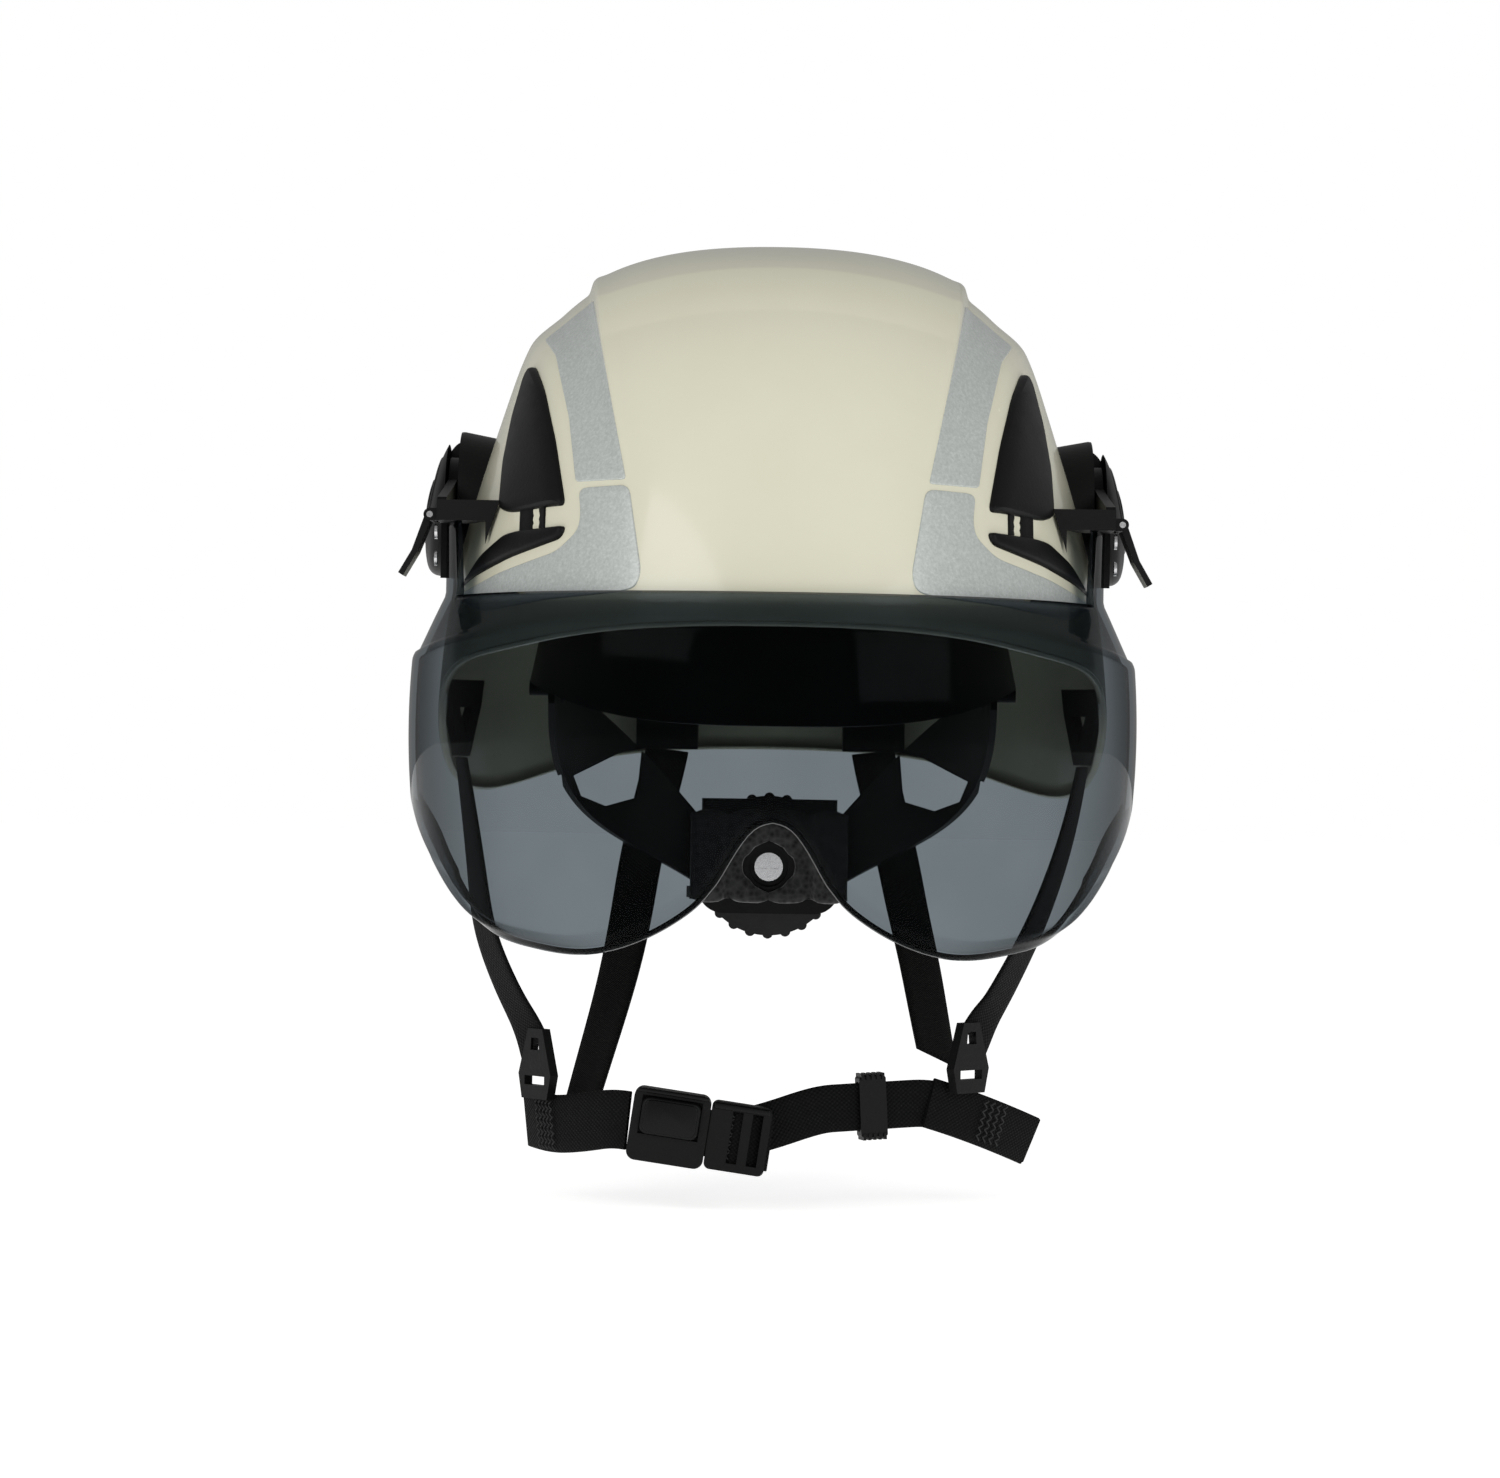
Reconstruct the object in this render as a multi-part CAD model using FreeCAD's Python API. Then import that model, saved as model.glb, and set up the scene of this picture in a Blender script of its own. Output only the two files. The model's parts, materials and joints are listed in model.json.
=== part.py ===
"""Vented safety helmet with a short swing-up visor, a ratchet nape fitting and a four-point chin strap.

The row frame: +Z up, the wearer looks along -Y, the wearer's left is +X.
The origin is the middle of the head opening, level with the shell's brow rim.
Left-hand pieces are built at +X and mirrored for the right.
"""
import FreeCAD, Part
import os
from math import pi, sin, cos, radians, degrees, atan2, hypot, copysign

V = FreeCAD.Vector
os.makedirs("parts", exist_ok=True)

# ------------------------------------------------------------------ driving sizes, mm
HALF_WIDTH = 112.0        # shell, centre to its side rim
FRONT_REACH = 150.0       # shell, centre to the front of its lowest control ring
REAR_REACH = 144.0        # shell, centre to the back of its lowest control ring
CROWN_HEIGHT = 129.0      # brow rim to the crown
WALL = 2.6                # shell wall
PLAN_POWER = 2.15         # 2 is an ellipse, more is squarer
TAPE_THICKNESS = 0.45
INSERT_PROUD = 1.2        # how far a vent insert stands off the shell
INSERT_LIP = 1.6          # how far an insert overlaps its window
LINER_THICKNESS = 11.0
LINER_LOW_EDGE = 50.0
FIT_GAP = 0.3             # between pieces that only lie side by side
RUNNING_GAP = 0.05        # radial, a pin in its hole

HUB_Y = 5.0               # visor pivot, behind the centre
HUB_Z = 41.5              # visor pivot, above the brow rim
HUB_RADIUS = 24.4
HUB_DEPTH = 15.5          # shell surface to the top of the cap
HUB_LEAN = 10.8           # the cap leans with the shell's side, degrees
CAP_WALL = 2.4
PIVOT_RADIUS = 4.0
RING_RADIUS = 17.0
ARM_THICKNESS = 3.0
VISOR_SWING = 75.0        # degrees, visor down to visor up

LENS_THICKNESS = 2.2
LENS_SIDE_STANDOFF = 6.0  # lens beyond the shell's half width
LENS_BROW_STANDOFF = 17.5 # lens fold in front of the brow rim
LENS_CENTRE_Y = -20.0     # where the lens is widest
LENS_POWER = 2.2
LENS_TOP = 10.0           # top edge of the flange above the brow rim
LENS_MIDDLE_Z = -31.0     # the height at which the lens bulges most
LENS_BARREL = 260.0       # vertical radius of the face
FLANGE_TUCK = 14.0        # how far the flange turns in towards the shell

LEVER_LENGTH = 21.0
LEVER_WIDTH = 14.0
LEVER_SPLAY = 20.0        # degrees outwards at rest
LEVER_PIN_RADIUS = 1.0
LEVER_STANDOFF = 2.6      # lever pin, outside the arm

HEAD_HALF_WIDTH = 80.0    # headband plan
HEAD_FRONT = 112.0
HEAD_REAR = 98.0
HEAD_POWER = 2.2
BAND_THICKNESS = 1.8
BAND_LOW = -30.0
BAND_HIGH = 2.0
PAD_THICKNESS = 5.0
NAPE_PIVOT_Y = 6.0        # where the nape fitting hangs on the headband
NAPE_PIVOT_Z = -18.0
NAPE_PIVOT_RADIUS = 2.5

KNOB_Z = -79.0
KNOB_RADIUS = 26.0
KNOB_DEPTH = 15.0
KNOB_RIBS = 24
KNOB_RIB_RADIUS = 1.9
KNOB_RECESS = 3.5
HOUSING_HALF_WIDTH = 25.0
HOUSING_HALF_HEIGHT = 16.5
HOUSING_DEPTH = 15.0
HOUSING_WALL = 2.0
PINION_TEETH = 12
GEAR_MODULE = 1.0
RACK_RADIUS = 83.0        # the racks are arcs about a vertical line
RACK_BACK = 4.0           # rack height behind its teeth
TOOTH_BACKLASH = 0.35
SHAFT_RADIUS = 3.0
SCREW_RADIUS = 5.0
DRIVE_SLOT = 1.2

WEB_WIDTH = 15.5          # harness webbing
WEB_THICKNESS = 1.4
CROWN_WEB_WIDTH = 20.0
CROWN_PAD_RADIUS = 27.0

BUCKLE_LENGTH = 25.0
BUCKLE_HEIGHT = 23.6
BUCKLE_THICKNESS = 9.0
BUCKLE_TILT = 8.0         # degrees, its free end hangs lower
BUTTON_LENGTH = 19.0
BUTTON_HEIGHT = 12.0
BUTTON_TRAVEL = 1.8
BUTTON_PROUD = 2.4
TONGUE_LENGTH = 11.0
TONGUE_HEIGHT = 15.0
TONGUE_THICKNESS = 2.6
SLIDER_LENGTH = 19.5
KEEPER_WIDTH = 9.0

# ------------------------------------------------------------------ shell profiles
# Three meridians as shares of the reach and of the crown height, from the crown down.
SIDE = ((0.054, 1.0), (0.18, 0.997), (0.357, 0.977), (0.518, 0.926), (0.643, 0.845), (0.737, 0.756),
        (0.795, 0.605), (0.848, 0.461), (0.915, 0.279), (0.964, 0.078), (0.991, -0.116), (1.0, -0.31),
        (1.0, -0.62))
FRONT = ((0.04, 1.0), (0.16, 0.994), (0.32, 0.961), (0.48, 0.903), (0.613, 0.798), (0.707, 0.651),
         (0.78, 0.481), (0.84, 0.302), (0.893, 0.132), (0.94, -0.023), (0.973, -0.171), (1.0, -0.349),
         (1.0, -0.62))
REAR = ((0.042, 1.0), (0.167, 0.995), (0.347, 0.969), (0.528, 0.907), (0.6875, 0.802), (0.8125, 0.659),
        (0.899, 0.488), (0.951, 0.31), (0.986, 0.116), (1.0, -0.07), (0.997, -0.233), (0.972, -0.403),
        (0.951, -0.62))
DOME_RIBS = 40            # control ribs round the shell

# The rim seen from the side: (y, z), from in front of the brow to behind the nape.
RIM = ((-175, 2), (-140, 1), (-100, -6), (-70, -10), (-30, -20), (5, -36), (40, -50), (70, -53),
       (100, -48), (125, -41), (150, -37), (175, -36))

# Outlines seen from the front, on the wearer's left: (x, z).
TAPE_UPPER = ((60, 107), (47, 46), (63, 45.5), (66, 66.5), (71.5, 88), (76, 94.5))
TAPE_LOWER = ((62, 43.5), (46, 44.3), (41.5, 17), (43, 12), (48, 10.5), (70, 8.5), (93, 5), (104, 10),
              (87, 17.5), (68.5, 23.5), (62, 29.7), (61, 34.5))
SAIL = ((78.5, 86), (74.5, 76.5), (70, 59), (66, 38), (69.5, 38), (84, 36.5), (88, 38), (88.5, 40),
        (88, 54), (85.5, 69), (81.5, 83))
STEM = ((72.5, 38), (81, 38), (81, 29), (72.5, 29))
BAR = ((86, 29.5), (81, 30.6), (72, 31.2), (65.5, 31.7), (67, 27.6), (84, 22), (96, 16.7), (103, 12.4),
       (98, 17.5), (93, 24))


# ------------------------------------------------------------------ general tools
def mirrored(shape):
    """The right-hand twin of a left-hand piece."""
    return shape.mirror(V(0, 0, 0), V(1, 0, 0))


def save(name, *shapes):
    """Write one node; several solids become one group."""
    shape = shapes[0] if len(shapes) == 1 else Part.makeCompound(list(shapes))
    shape.exportStep("parts/" + name + ".step")


def save_pair(name, shape):
    save(name + "_left", shape)
    save(name + "_right", mirrored(shape))


def block(x0, x1, y0, y1, z0, z1):
    return Part.makeBox(x1 - x0, y1 - y0, z1 - z0, V(x0, y0, z0))


def cylinder(radius, start, direction, length):
    return Part.makeCylinder(radius, length, start, direction)


def outline_face(points, place):
    """A flat face from (a, b) points, each put in space by place(a, b)."""
    corners = [place(a, b) for a, b in points]
    return Part.Face(Part.makePolygon(corners + corners[:1]))


def prism_along_y(points, y0, y1):
    face = outline_face(points, lambda x, z: V(x, y0, z))
    return face.extrude(V(0, y1 - y0, 0))


def prism_along_x(points, x0, x1):
    face = outline_face(points, lambda y, z: V(x0, y, z))
    return face.extrude(V(x1 - x0, 0, 0))


def curve_then_lines(curve_points, line_points, place):
    """A face bounded by one smooth curve and straight lines that close it."""
    curve = Part.BSplineCurve()
    curve.interpolate([place(a, b) for a, b in curve_points])
    corners = [place(*curve_points[-1])] + [place(a, b) for a, b in line_points] + [place(*curve_points[0])]
    edges = [curve.toShape()] + [Part.makeLine(p, q) for p, q in zip(corners, corners[1:])]
    return Part.Face(Part.Wire(edges))


def power_curve(value, power):
    return copysign(abs(value) ** (2.0 / power), value)


def knots(count, degree, closed):
    if closed:
        return [float(k) for k in range(count + 1)], [1] * (count + 1)
    spans = count - degree
    return [float(k) for k in range(spans + 1)], [degree + 1] + [1] * (spans - 1) + [degree + 1]


def surface(net, closed=False):
    """A spline surface over a net of control points; closed joins the last rib to the first."""
    degree_u = min(3, len(net) - 1)
    degree_v = min(3, len(net[0]) - 1)
    knots_u, times_u = knots(len(net), degree_u, closed)
    knots_v, times_v = knots(len(net[0]), degree_v, False)
    patch = Part.BSplineSurface()
    patch.buildFromPolesMultsKnots(net, times_u, times_v, knots_u, knots_v, closed, False,
                                   degree_u, degree_v)
    return patch


def net_normal(net, i, j):
    rows, columns = len(net), len(net[0])
    along_u = net[min(i + 1, rows - 1)][j] - net[max(i - 1, 0)][j]
    along_v = net[i][min(j + 1, columns - 1)] - net[i][max(j - 1, 0)]
    normal = along_u.cross(along_v)
    normal.normalize()
    return normal


def shifted(net, distance):
    """The net moved along its own normals."""
    return [[net[i][j] + net_normal(net, i, j) * distance for j in range(len(net[0]))]
            for i in range(len(net))]


def boundary_curves(patch):
    u0, u1, v0, v1 = patch.bounds()
    return [patch.uIso(u0), patch.vIso(v1), patch.uIso(u1), patch.vIso(v0)]


def sheet_solid(net, thickness):
    """A curved sheet of even thickness, centred on its net."""
    outer = surface(shifted(net, thickness / 2.0))
    inner = surface(shifted(net, -thickness / 2.0))
    faces = [outer.toShape(), inner.toShape()]
    for a, b in zip(boundary_curves(outer), boundary_curves(inner)):
        faces.append(Part.makeRuledSurface(a.toShape(), b.toShape()))
    shell = Part.Shell(faces)
    shell.sewShape()
    solid = Part.Solid(shell)
    if solid.Volume < 0:
        solid.reverse()
    return solid


def strap(centres, widths, width, thickness):
    """Flat webbing through the centres; widths gives the direction across it at each one."""
    net = []
    for centre, across in zip(centres, widths):
        step = V(across)
        step.normalize()
        net.append([centre - step * (width / 2.0), centre + step * (width / 2.0)])
    return sheet_solid(net, thickness)


def rounded_block(length, depth, height, radius):
    """A block centred on its own origin, its four depth-wise edges rounded."""
    solid = block(-length / 2.0, length / 2.0, -depth / 2.0, depth / 2.0, -height / 2.0, height / 2.0)
    edges = [e for e in solid.Edges if abs(e.tangentAt(e.FirstParameter).y) > 0.9]
    return solid.makeFillet(radius, edges)


# ------------------------------------------------------------------ the shell's shape
def dome_net():
    net = []
    for rib in range(DOME_RIBS):
        angle = 2.0 * pi * rib / DOME_RIBS
        side, ahead = sin(angle), cos(angle)
        reach, profile = (FRONT_REACH, FRONT) if ahead > 0 else (REAR_REACH, REAR)
        x_share = power_curve(side, PLAN_POWER)
        y_share = power_curve(ahead, PLAN_POWER)
        net.append([V(HALF_WIDTH * sx * x_share, -reach * py * y_share,
                      CROWN_HEIGHT * (sz * side * side + pz * ahead * ahead))
                    for (sx, sz), (py, pz) in zip(SIDE, profile)])
    return net


DOME = dome_net()


def dome_offset_net(distance):
    """The dome's control net moved outwards by a distance; the crown ring only rises."""
    rings = len(DOME[0])
    moved = []
    for i in range(DOME_RIBS):
        row = [DOME[i][0] + V(0, 0, distance)]
        for j in range(1, rings):
            around = DOME[(i + 1) % DOME_RIBS][j] - DOME[i - 1][j]
            down = DOME[i][min(j + 1, rings - 1)] - DOME[i][j - 1]
            normal = around.cross(down)
            if j == rings - 1:
                normal.z = 0
            normal.normalize()
            outwards = normal.dot(V(DOME[i][j].x, DOME[i][j].y, CROWN_HEIGHT / rings))
            row.append(DOME[i][j] + normal * (distance if outwards > 0 else -distance))
        moved.append(row)
    return moved


def dome_solid(distance, drop=0.0):
    """Everything inside the dome moved outwards by a distance; drop lowers its foot."""
    net = dome_offset_net(distance)
    for row in net:
        row[-1] = row[-1] - V(0, 0, drop)
    side = surface(net, closed=True).toShape()
    rings = [e for e in side.Edges if e.isClosed() and e.BoundBox.ZLength < 1e-4]
    shell = Part.Shell([side] + [Part.Face(Part.Wire([ring])) for ring in rings])
    shell.sewShape()
    solid = Part.Solid(shell)
    if solid.Volume < 0:
        solid.reverse()
    return solid


OUTER = dome_solid(0.0)
FAR = 400.0


def side_at(y, z):
    """Half width of the shell's outside at a height and a distance along it."""
    hit = OUTER.common(Part.makeLine(V(0, y, z), V(FAR, y, z)))
    return max(v.X for v in hit.Vertexes)


def end_at(x, z, ahead):
    """Where the shell's outside lies in front of (or behind) a point."""
    hit = OUTER.common(Part.makeLine(V(x, 0, z), V(x, -FAR if ahead else FAR, z)))
    return min(v.Y for v in hit.Vertexes) if ahead else max(v.Y for v in hit.Vertexes)


def on_dome(angle, height, distance):
    """The point of the dome moved outwards by a distance, at a plan angle from the front."""
    patch = surface(dome_offset_net(distance), closed=True)
    # A periodic cubic starts one and a half knots before its first control rib.
    u = (angle / 360.0 * DOME_RIBS - 2.0) % DOME_RIBS
    low, high = patch.bounds()[2:]
    for _ in range(40):
        middle = (low + high) / 2.0
        if patch.value(u, middle).z > height:
            low = middle
        else:
            high = middle
    return patch.value(u, low)


def layer_patch(outline, inner_distance, outer_distance, ahead):
    """The part of a layer over the dome that an outline covers, seen from the front or the back."""
    prism = prism_along_y(outline, 0, -FAR if ahead else FAR)
    return prism.common(dome_solid(outer_distance)).cut(dome_solid(inner_distance))


def inset(outline, distance):
    """An outline drawn in by a distance."""
    face = outline_face(outline, lambda a, b: V(a, b, 0))
    wire = face.makeOffset2D(-distance).OuterWire
    return [(v.X, v.Y) for v in wire.OrderedVertexes]


def rim_prism():
    face = curve_then_lines(RIM, ((RIM[-1][0], -FAR), (RIM[0][0], -FAR)), lambda y, z: V(-FAR, y, z))
    return face.extrude(V(2 * FAR, 0, 0))


def build_shell(windows):
    shell = OUTER.cut(dome_solid(-WALL, drop=5.0)).cut(rim_prism())
    for window in windows:
        shell = shell.cut(window)
    return shell


# ------------------------------------------------------------------ tapes and vents
def vent_insert(ahead):
    """A sail, a stem and a swept bar on the shell, with a plug behind the sail that fills its window."""
    face = layer_patch(SAIL, 0.05, INSERT_PROUD, ahead)
    for outline in (STEM, BAR):
        face = face.fuse(layer_patch(outline, 0.05, INSERT_PROUD, ahead))
    plug = layer_patch(inset(SAIL, INSERT_LIP + FIT_GAP), -WALL, 0.2, ahead)
    return face.fuse(plug).removeSplitter()


def vent_window(ahead):
    return prism_along_y(inset(SAIL, INSERT_LIP), 0, -FAR if ahead else FAR)


def tape_patches(ahead):
    patches = []
    for outline in (TAPE_UPPER, TAPE_LOWER):
        patch = layer_patch(outline, 0.05, TAPE_THICKNESS, ahead)
        patches += [patch, mirrored(patch)]
    return patches


windows = []
for ahead in (True, False):
    window = vent_window(ahead)
    windows += [window, mirrored(window)]
save("shell", build_shell(windows))
save_pair("front_vent_insert", vent_insert(True))
save_pair("rear_vent_insert", vent_insert(False))
save("front_tapes", *tape_patches(True))
save("rear_tapes", *tape_patches(False))


# ------------------------------------------------------------------ impact liner
def build_liner():
    outside = dome_solid(-WALL - FIT_GAP)
    inside = dome_solid(-WALL - FIT_GAP - LINER_THICKNESS, drop=5.0)
    keep = block(-FAR, FAR, -FAR, FAR, LINER_LOW_EDGE, FAR)
    return outside.cut(inside).common(keep)


save("impact_liner", build_liner())


# ------------------------------------------------------------------ visor hubs
HUB_X = side_at(HUB_Y, HUB_Z)
RING_X = side_at(HUB_Y, HUB_Z - RING_RADIUS) + 1.2
RING_OUT = RING_X + ARM_THICKNESS
HUB_AXIS = V(cos(radians(HUB_LEAN)), 0, sin(radians(HUB_LEAN)))
HUB_CENTRE = V(HUB_X, HUB_Y, HUB_Z)
WASHER_THICKNESS = 0.7
CAP_SKIRT = 14.0           # how far the cap is drawn into the shell before it is trimmed to it
HUB_SINK = 12.0            # the same for the base


def turned(profile):
    """A solid of revolution about the leaning hub axis from (radius, distance out) points."""
    across = V(-HUB_AXIS.z, 0, HUB_AXIS.x)
    curve = Part.BSplineCurve()
    curve.interpolate([HUB_CENTRE + across * r + HUB_AXIS * d for r, d in profile])
    start = HUB_CENTRE + across * profile[0][0] + HUB_AXIS * profile[0][1]
    end = HUB_CENTRE + across * profile[-1][0] + HUB_AXIS * profile[-1][1]
    foot = HUB_CENTRE - HUB_AXIS * CAP_SKIRT
    corner = foot + across * profile[0][0]
    corners = (end, foot, corner, start)
    edges = [curve.toShape()] + [Part.makeLine(p, q) for p, q in zip(corners, corners[1:])]
    return Part.Face(Part.Wire(edges)).revolve(HUB_CENTRE, HUB_AXIS, 360)


def cap_profile(inset_by):
    radius, top = HUB_RADIUS - inset_by, HUB_DEPTH - inset_by
    return ((radius, top - 7.0), (radius - 1.2, top - 4.6), (radius - 4.0, top - 3.0),
            (radius * 0.57, top - 1.2), (radius * 0.28, top - 0.3), (0.0, top))


ARM_SECTOR_START = 48.0   # degrees below level, and the sweep beyond the visor's own swing
ARM_SECTOR_EXTRA = 88.0
RING_CLEARANCE = 0.5


def arm_sector():
    """The space that the arm sweeps through the cap's side, front and below to front and above."""
    points = [(HUB_Y, HUB_Z)]
    for step in range(13):
        turn = radians(-ARM_SECTOR_START + step * (ARM_SECTOR_EXTRA + VISOR_SWING) / 12.0)
        points.append((HUB_Y - 40.0 * cos(turn), HUB_Z + 40.0 * sin(turn)))
    return prism_along_x(points, RING_X - 0.6, RING_OUT + 0.6)


def build_hub_cap():
    cap = turned(cap_profile(0.0)).cut(turned(cap_profile(CAP_WALL)))
    ring_room = cylinder(RING_RADIUS + RING_CLEARANCE, V(RING_X - RING_CLEARANCE, HUB_Y, HUB_Z), V(1, 0, 0),
                         ARM_THICKNESS + 2 * RING_CLEARANCE)
    cap = cap.cut(OUTER).cut(arm_sector()).cut(ring_room)
    pin_hole = cylinder(PIVOT_RADIUS + RUNNING_GAP, V(HUB_X, HUB_Y, HUB_Z), V(1, 0, 0), 40)
    return max(cap.cut(pin_hole).Solids, key=lambda s: s.Volume)


def build_hub_base():
    boss = cylinder(RING_RADIUS - 4.0, V(HUB_X - 8, HUB_Y, HUB_Z), V(1, 0, 0),
                    RING_X - WASHER_THICKNESS - 0.15 - HUB_X + 8)
    inside = V(HUB_X - HUB_SINK, HUB_Y, HUB_Z)
    foot = cylinder(HUB_RADIUS - CAP_WALL - 1.5, inside, V(1, 0, 0), HUB_SINK + 1.0)
    base = boss.fuse(foot).cut(OUTER)
    hole = cylinder(PIVOT_RADIUS + RUNNING_GAP, V(HUB_X - 15, HUB_Y, HUB_Z), V(1, 0, 0), 40)
    return max(base.cut(hole).Solids, key=lambda s: s.Volume)


def build_pivot_pin():
    start = side_at(HUB_Y, HUB_Z - PIVOT_RADIUS) + FIT_GAP
    return cylinder(PIVOT_RADIUS, V(start, HUB_Y, HUB_Z), V(1, 0, 0), HUB_X + HUB_DEPTH - 1.0 - start)


def build_washer():
    x = RING_X - WASHER_THICKNESS - 0.07
    disc = cylinder(RING_RADIUS - 5.0, V(x, HUB_Y, HUB_Z), V(1, 0, 0), WASHER_THICKNESS)
    return disc.cut(cylinder(PIVOT_RADIUS + RUNNING_GAP, V(x - 1, HUB_Y, HUB_Z), V(1, 0, 0), 4))


save_pair("hub_base", build_hub_base())
save_pair("hub_cap", build_hub_cap())
save_pair("pivot_pin", build_pivot_pin())
save_pair("friction_washer", build_washer())

# ------------------------------------------------------------------ visor lens
LENS_HALF_WIDTH = HALF_WIDTH + LENS_SIDE_STANDOFF
BROW_Y = end_at(0, 0, True)
LENS_FRONT = -BROW_Y + LENS_BROW_STANDOFF + LENS_CENTRE_Y
EAR_Y0, EAR_Y1 = -66.0, -46.0      # the lens's ears, which the arms clamp
EAR_TOP = 34.0
# Rows of the lens from the ear's top down: height, how far the flange has turned in there.
LENS_ROWS = ((EAR_TOP + 2, 1.02), (22.0, 1.01), (LENS_TOP + 1, 1.0), (4.0, 0.55), (0.5, 0.12), (-4.0, 0.0),
             (-14.0, 0.0), (LENS_MIDDLE_Z, 0.0), (-52.0, 0.0), (-74.0, 0.0), (-92.0, 0.0), (-108.0, 0.0))
LENS_RIBS = 37
LENS_FOLD_DROP = 8.0               # the fold comes down towards the ears
LENS_EDGE_BASE = 118.0             # the half width that the lower edge is drawn for
# The lower edge seen from the front, nose arch included: (x, z).
LENS_EDGE = ((0, -59), (7, -62), (13, -70), (20, -81), (29, -89.5), (43.5, -97.5), (62, -102), (79, -100.5),
             (95, -94), (106, -80), (115, -61), (121, -38), (126, -10))
# The back edge seen from the side: (y, z).
LENS_BACK = ((EAR_Y1, EAR_TOP - 3), (EAR_Y1 + 1, 12), (-34, -3), (-23, -16), (-19, -32), (-21, -50),
             (-30, -70))


def lens_point(angle, height, turned_in):
    side, ahead = sin(radians(angle)), cos(radians(angle))
    near_side = abs(side) ** 6
    drop = LENS_FOLD_DROP * near_side
    tuck = turned_in * (FLANGE_TUCK * (1.0 - 0.36 * near_side))
    bulge_height = height - LENS_MIDDLE_Z if turned_in < 0.5 else LENS_MIDDLE_Z
    barrel = bulge_height ** 2 / (2.0 * LENS_BARREL)
    half = LENS_HALF_WIDTH - tuck - barrel
    depth = LENS_FRONT - tuck - barrel
    z = height - (drop if LENS_MIDDLE_Z < height < LENS_TOP else 0.0)
    y = LENS_CENTRE_Y - depth * power_curve(ahead, LENS_POWER)
    return V(half * power_curve(side, LENS_POWER), y, z)


def lens_sheet():
    net = []
    for rib in range(LENS_RIBS):
        angle = -97.0 + 194.0 * rib / (LENS_RIBS - 1)
        net.append([lens_point(angle, height, turned_in) for height, turned_in in LENS_ROWS])
    return sheet_solid(net, LENS_THICKNESS)


def build_lens():
    sheet = lens_sheet()
    edge = [(x * LENS_HALF_WIDTH / LENS_EDGE_BASE, z) for x, z in LENS_EDGE]
    below = curve_then_lines([(-x, z) for x, z in reversed(edge)] + edge[1:],
                             ((edge[-1][0], -FAR), (-edge[-1][0], -FAR)), lambda x, z: V(x, 0, z))
    sheet = sheet.cut(below.extrude(V(0, -FAR, 0)))
    behind = curve_then_lines(LENS_BACK, ((FAR, LENS_BACK[-1][1]), (FAR, FAR), (EAR_Y1, FAR)),
                              lambda y, z: V(-FAR, y, z))
    sheet = sheet.cut(behind.extrude(V(2 * FAR, 0, 0)))
    above = ((-FAR, LENS_TOP), (EAR_Y0 - 8, LENS_TOP), (EAR_Y0, LENS_TOP + 6), (EAR_Y0, EAR_TOP - 5),
             (EAR_Y0 + 4, EAR_TOP), (EAR_Y1 + 30, EAR_TOP), (EAR_Y1 + 30, FAR), (-FAR, FAR))
    return sheet.cut(prism_along_x(above, -FAR, FAR))


LENS = build_lens()
save("visor_lens", LENS)


# ------------------------------------------------------------------ visor arms and levers
EAR_X = LENS.common(block(0, FAR, EAR_Y0 + 9, EAR_Y0 + 11, 22, 24)).BoundBox
ARM_OUTLINE = ((HUB_Y + 2, HUB_Z + 12), (-30, 47), (EAR_Y0 + 2, 42), (EAR_Y0 - 1, 38), (EAR_Y0 - 1, 19),
               (EAR_Y0 + 3, 16), (EAR_Y1, 15.5), (-24, 24), (HUB_Y - 6, HUB_Z - 13))


JAW_DEPTH = 6.0           # how far the arm's jaw reaches inside the lens's ear
SHELL_CLEARANCE = 1.2     # between the arm and the shell


def build_arm():
    """A ring on the pivot, a flat arm outside the lens's ear and a cheek inside it."""
    ring = cylinder(RING_RADIUS, V(RING_X, HUB_Y, HUB_Z), V(1, 0, 0), ARM_THICKNESS)
    plate = prism_along_x(ARM_OUTLINE, RING_X, RING_OUT)
    jaw = block(EAR_X.XMin - JAW_DEPTH, RING_OUT, EAR_Y0 - 1, EAR_Y1 + 1, 17.5, 41)
    arm = ring.fuse(plate).fuse(jaw)
    arm = arm.cut(dome_solid(SHELL_CLEARANCE))
    ear_slot = block(EAR_X.XMin - 1.6, EAR_X.XMax + 1.2, EAR_Y0 - 3, EAR_Y1 + 3, 0, EAR_TOP + 0.4)
    arm = arm.cut(ear_slot)
    hole = cylinder(PIVOT_RADIUS + RUNNING_GAP, V(RING_X - 1, HUB_Y, HUB_Z), V(1, 0, 0), ARM_THICKNESS + 2)
    return arm.cut(hole)


save_pair("visor_arm", max(build_arm().Solids, key=lambda s: s.Volume))


EAR_SCREW_HEIGHTS = (22.5, 31.0)
EAR_SCREW_Y = (EAR_Y0 + EAR_Y1) / 2.0 - 4.0
EAR_SCREW_HEAD = 2.4      # radius
EAR_SCREW_SHANK = 1.2     # radius


def build_arm_screws():
    """The heads of the screws that hold the lens's ear in the arm's jaw."""
    screws = []
    for z in EAR_SCREW_HEIGHTS:
        head = cylinder(EAR_SCREW_HEAD, V(RING_OUT, EAR_SCREW_Y, z), V(1, 0, 0), 0.9)
        shank = cylinder(EAR_SCREW_SHANK, V(RING_OUT, EAR_SCREW_Y, z), V(1, 0, 0), 0.4)
        screws.append(head.fuse(shank))
    return screws


LEVER_X = RING_OUT + LEVER_STANDOFF
LEVER_Z = 36.5
LEVER_Y0 = EAR_Y1 - LEVER_WIDTH + 1.0
LEVER_BARREL = 2.0        # radius
LUG_WIDTH = 2.0


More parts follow.
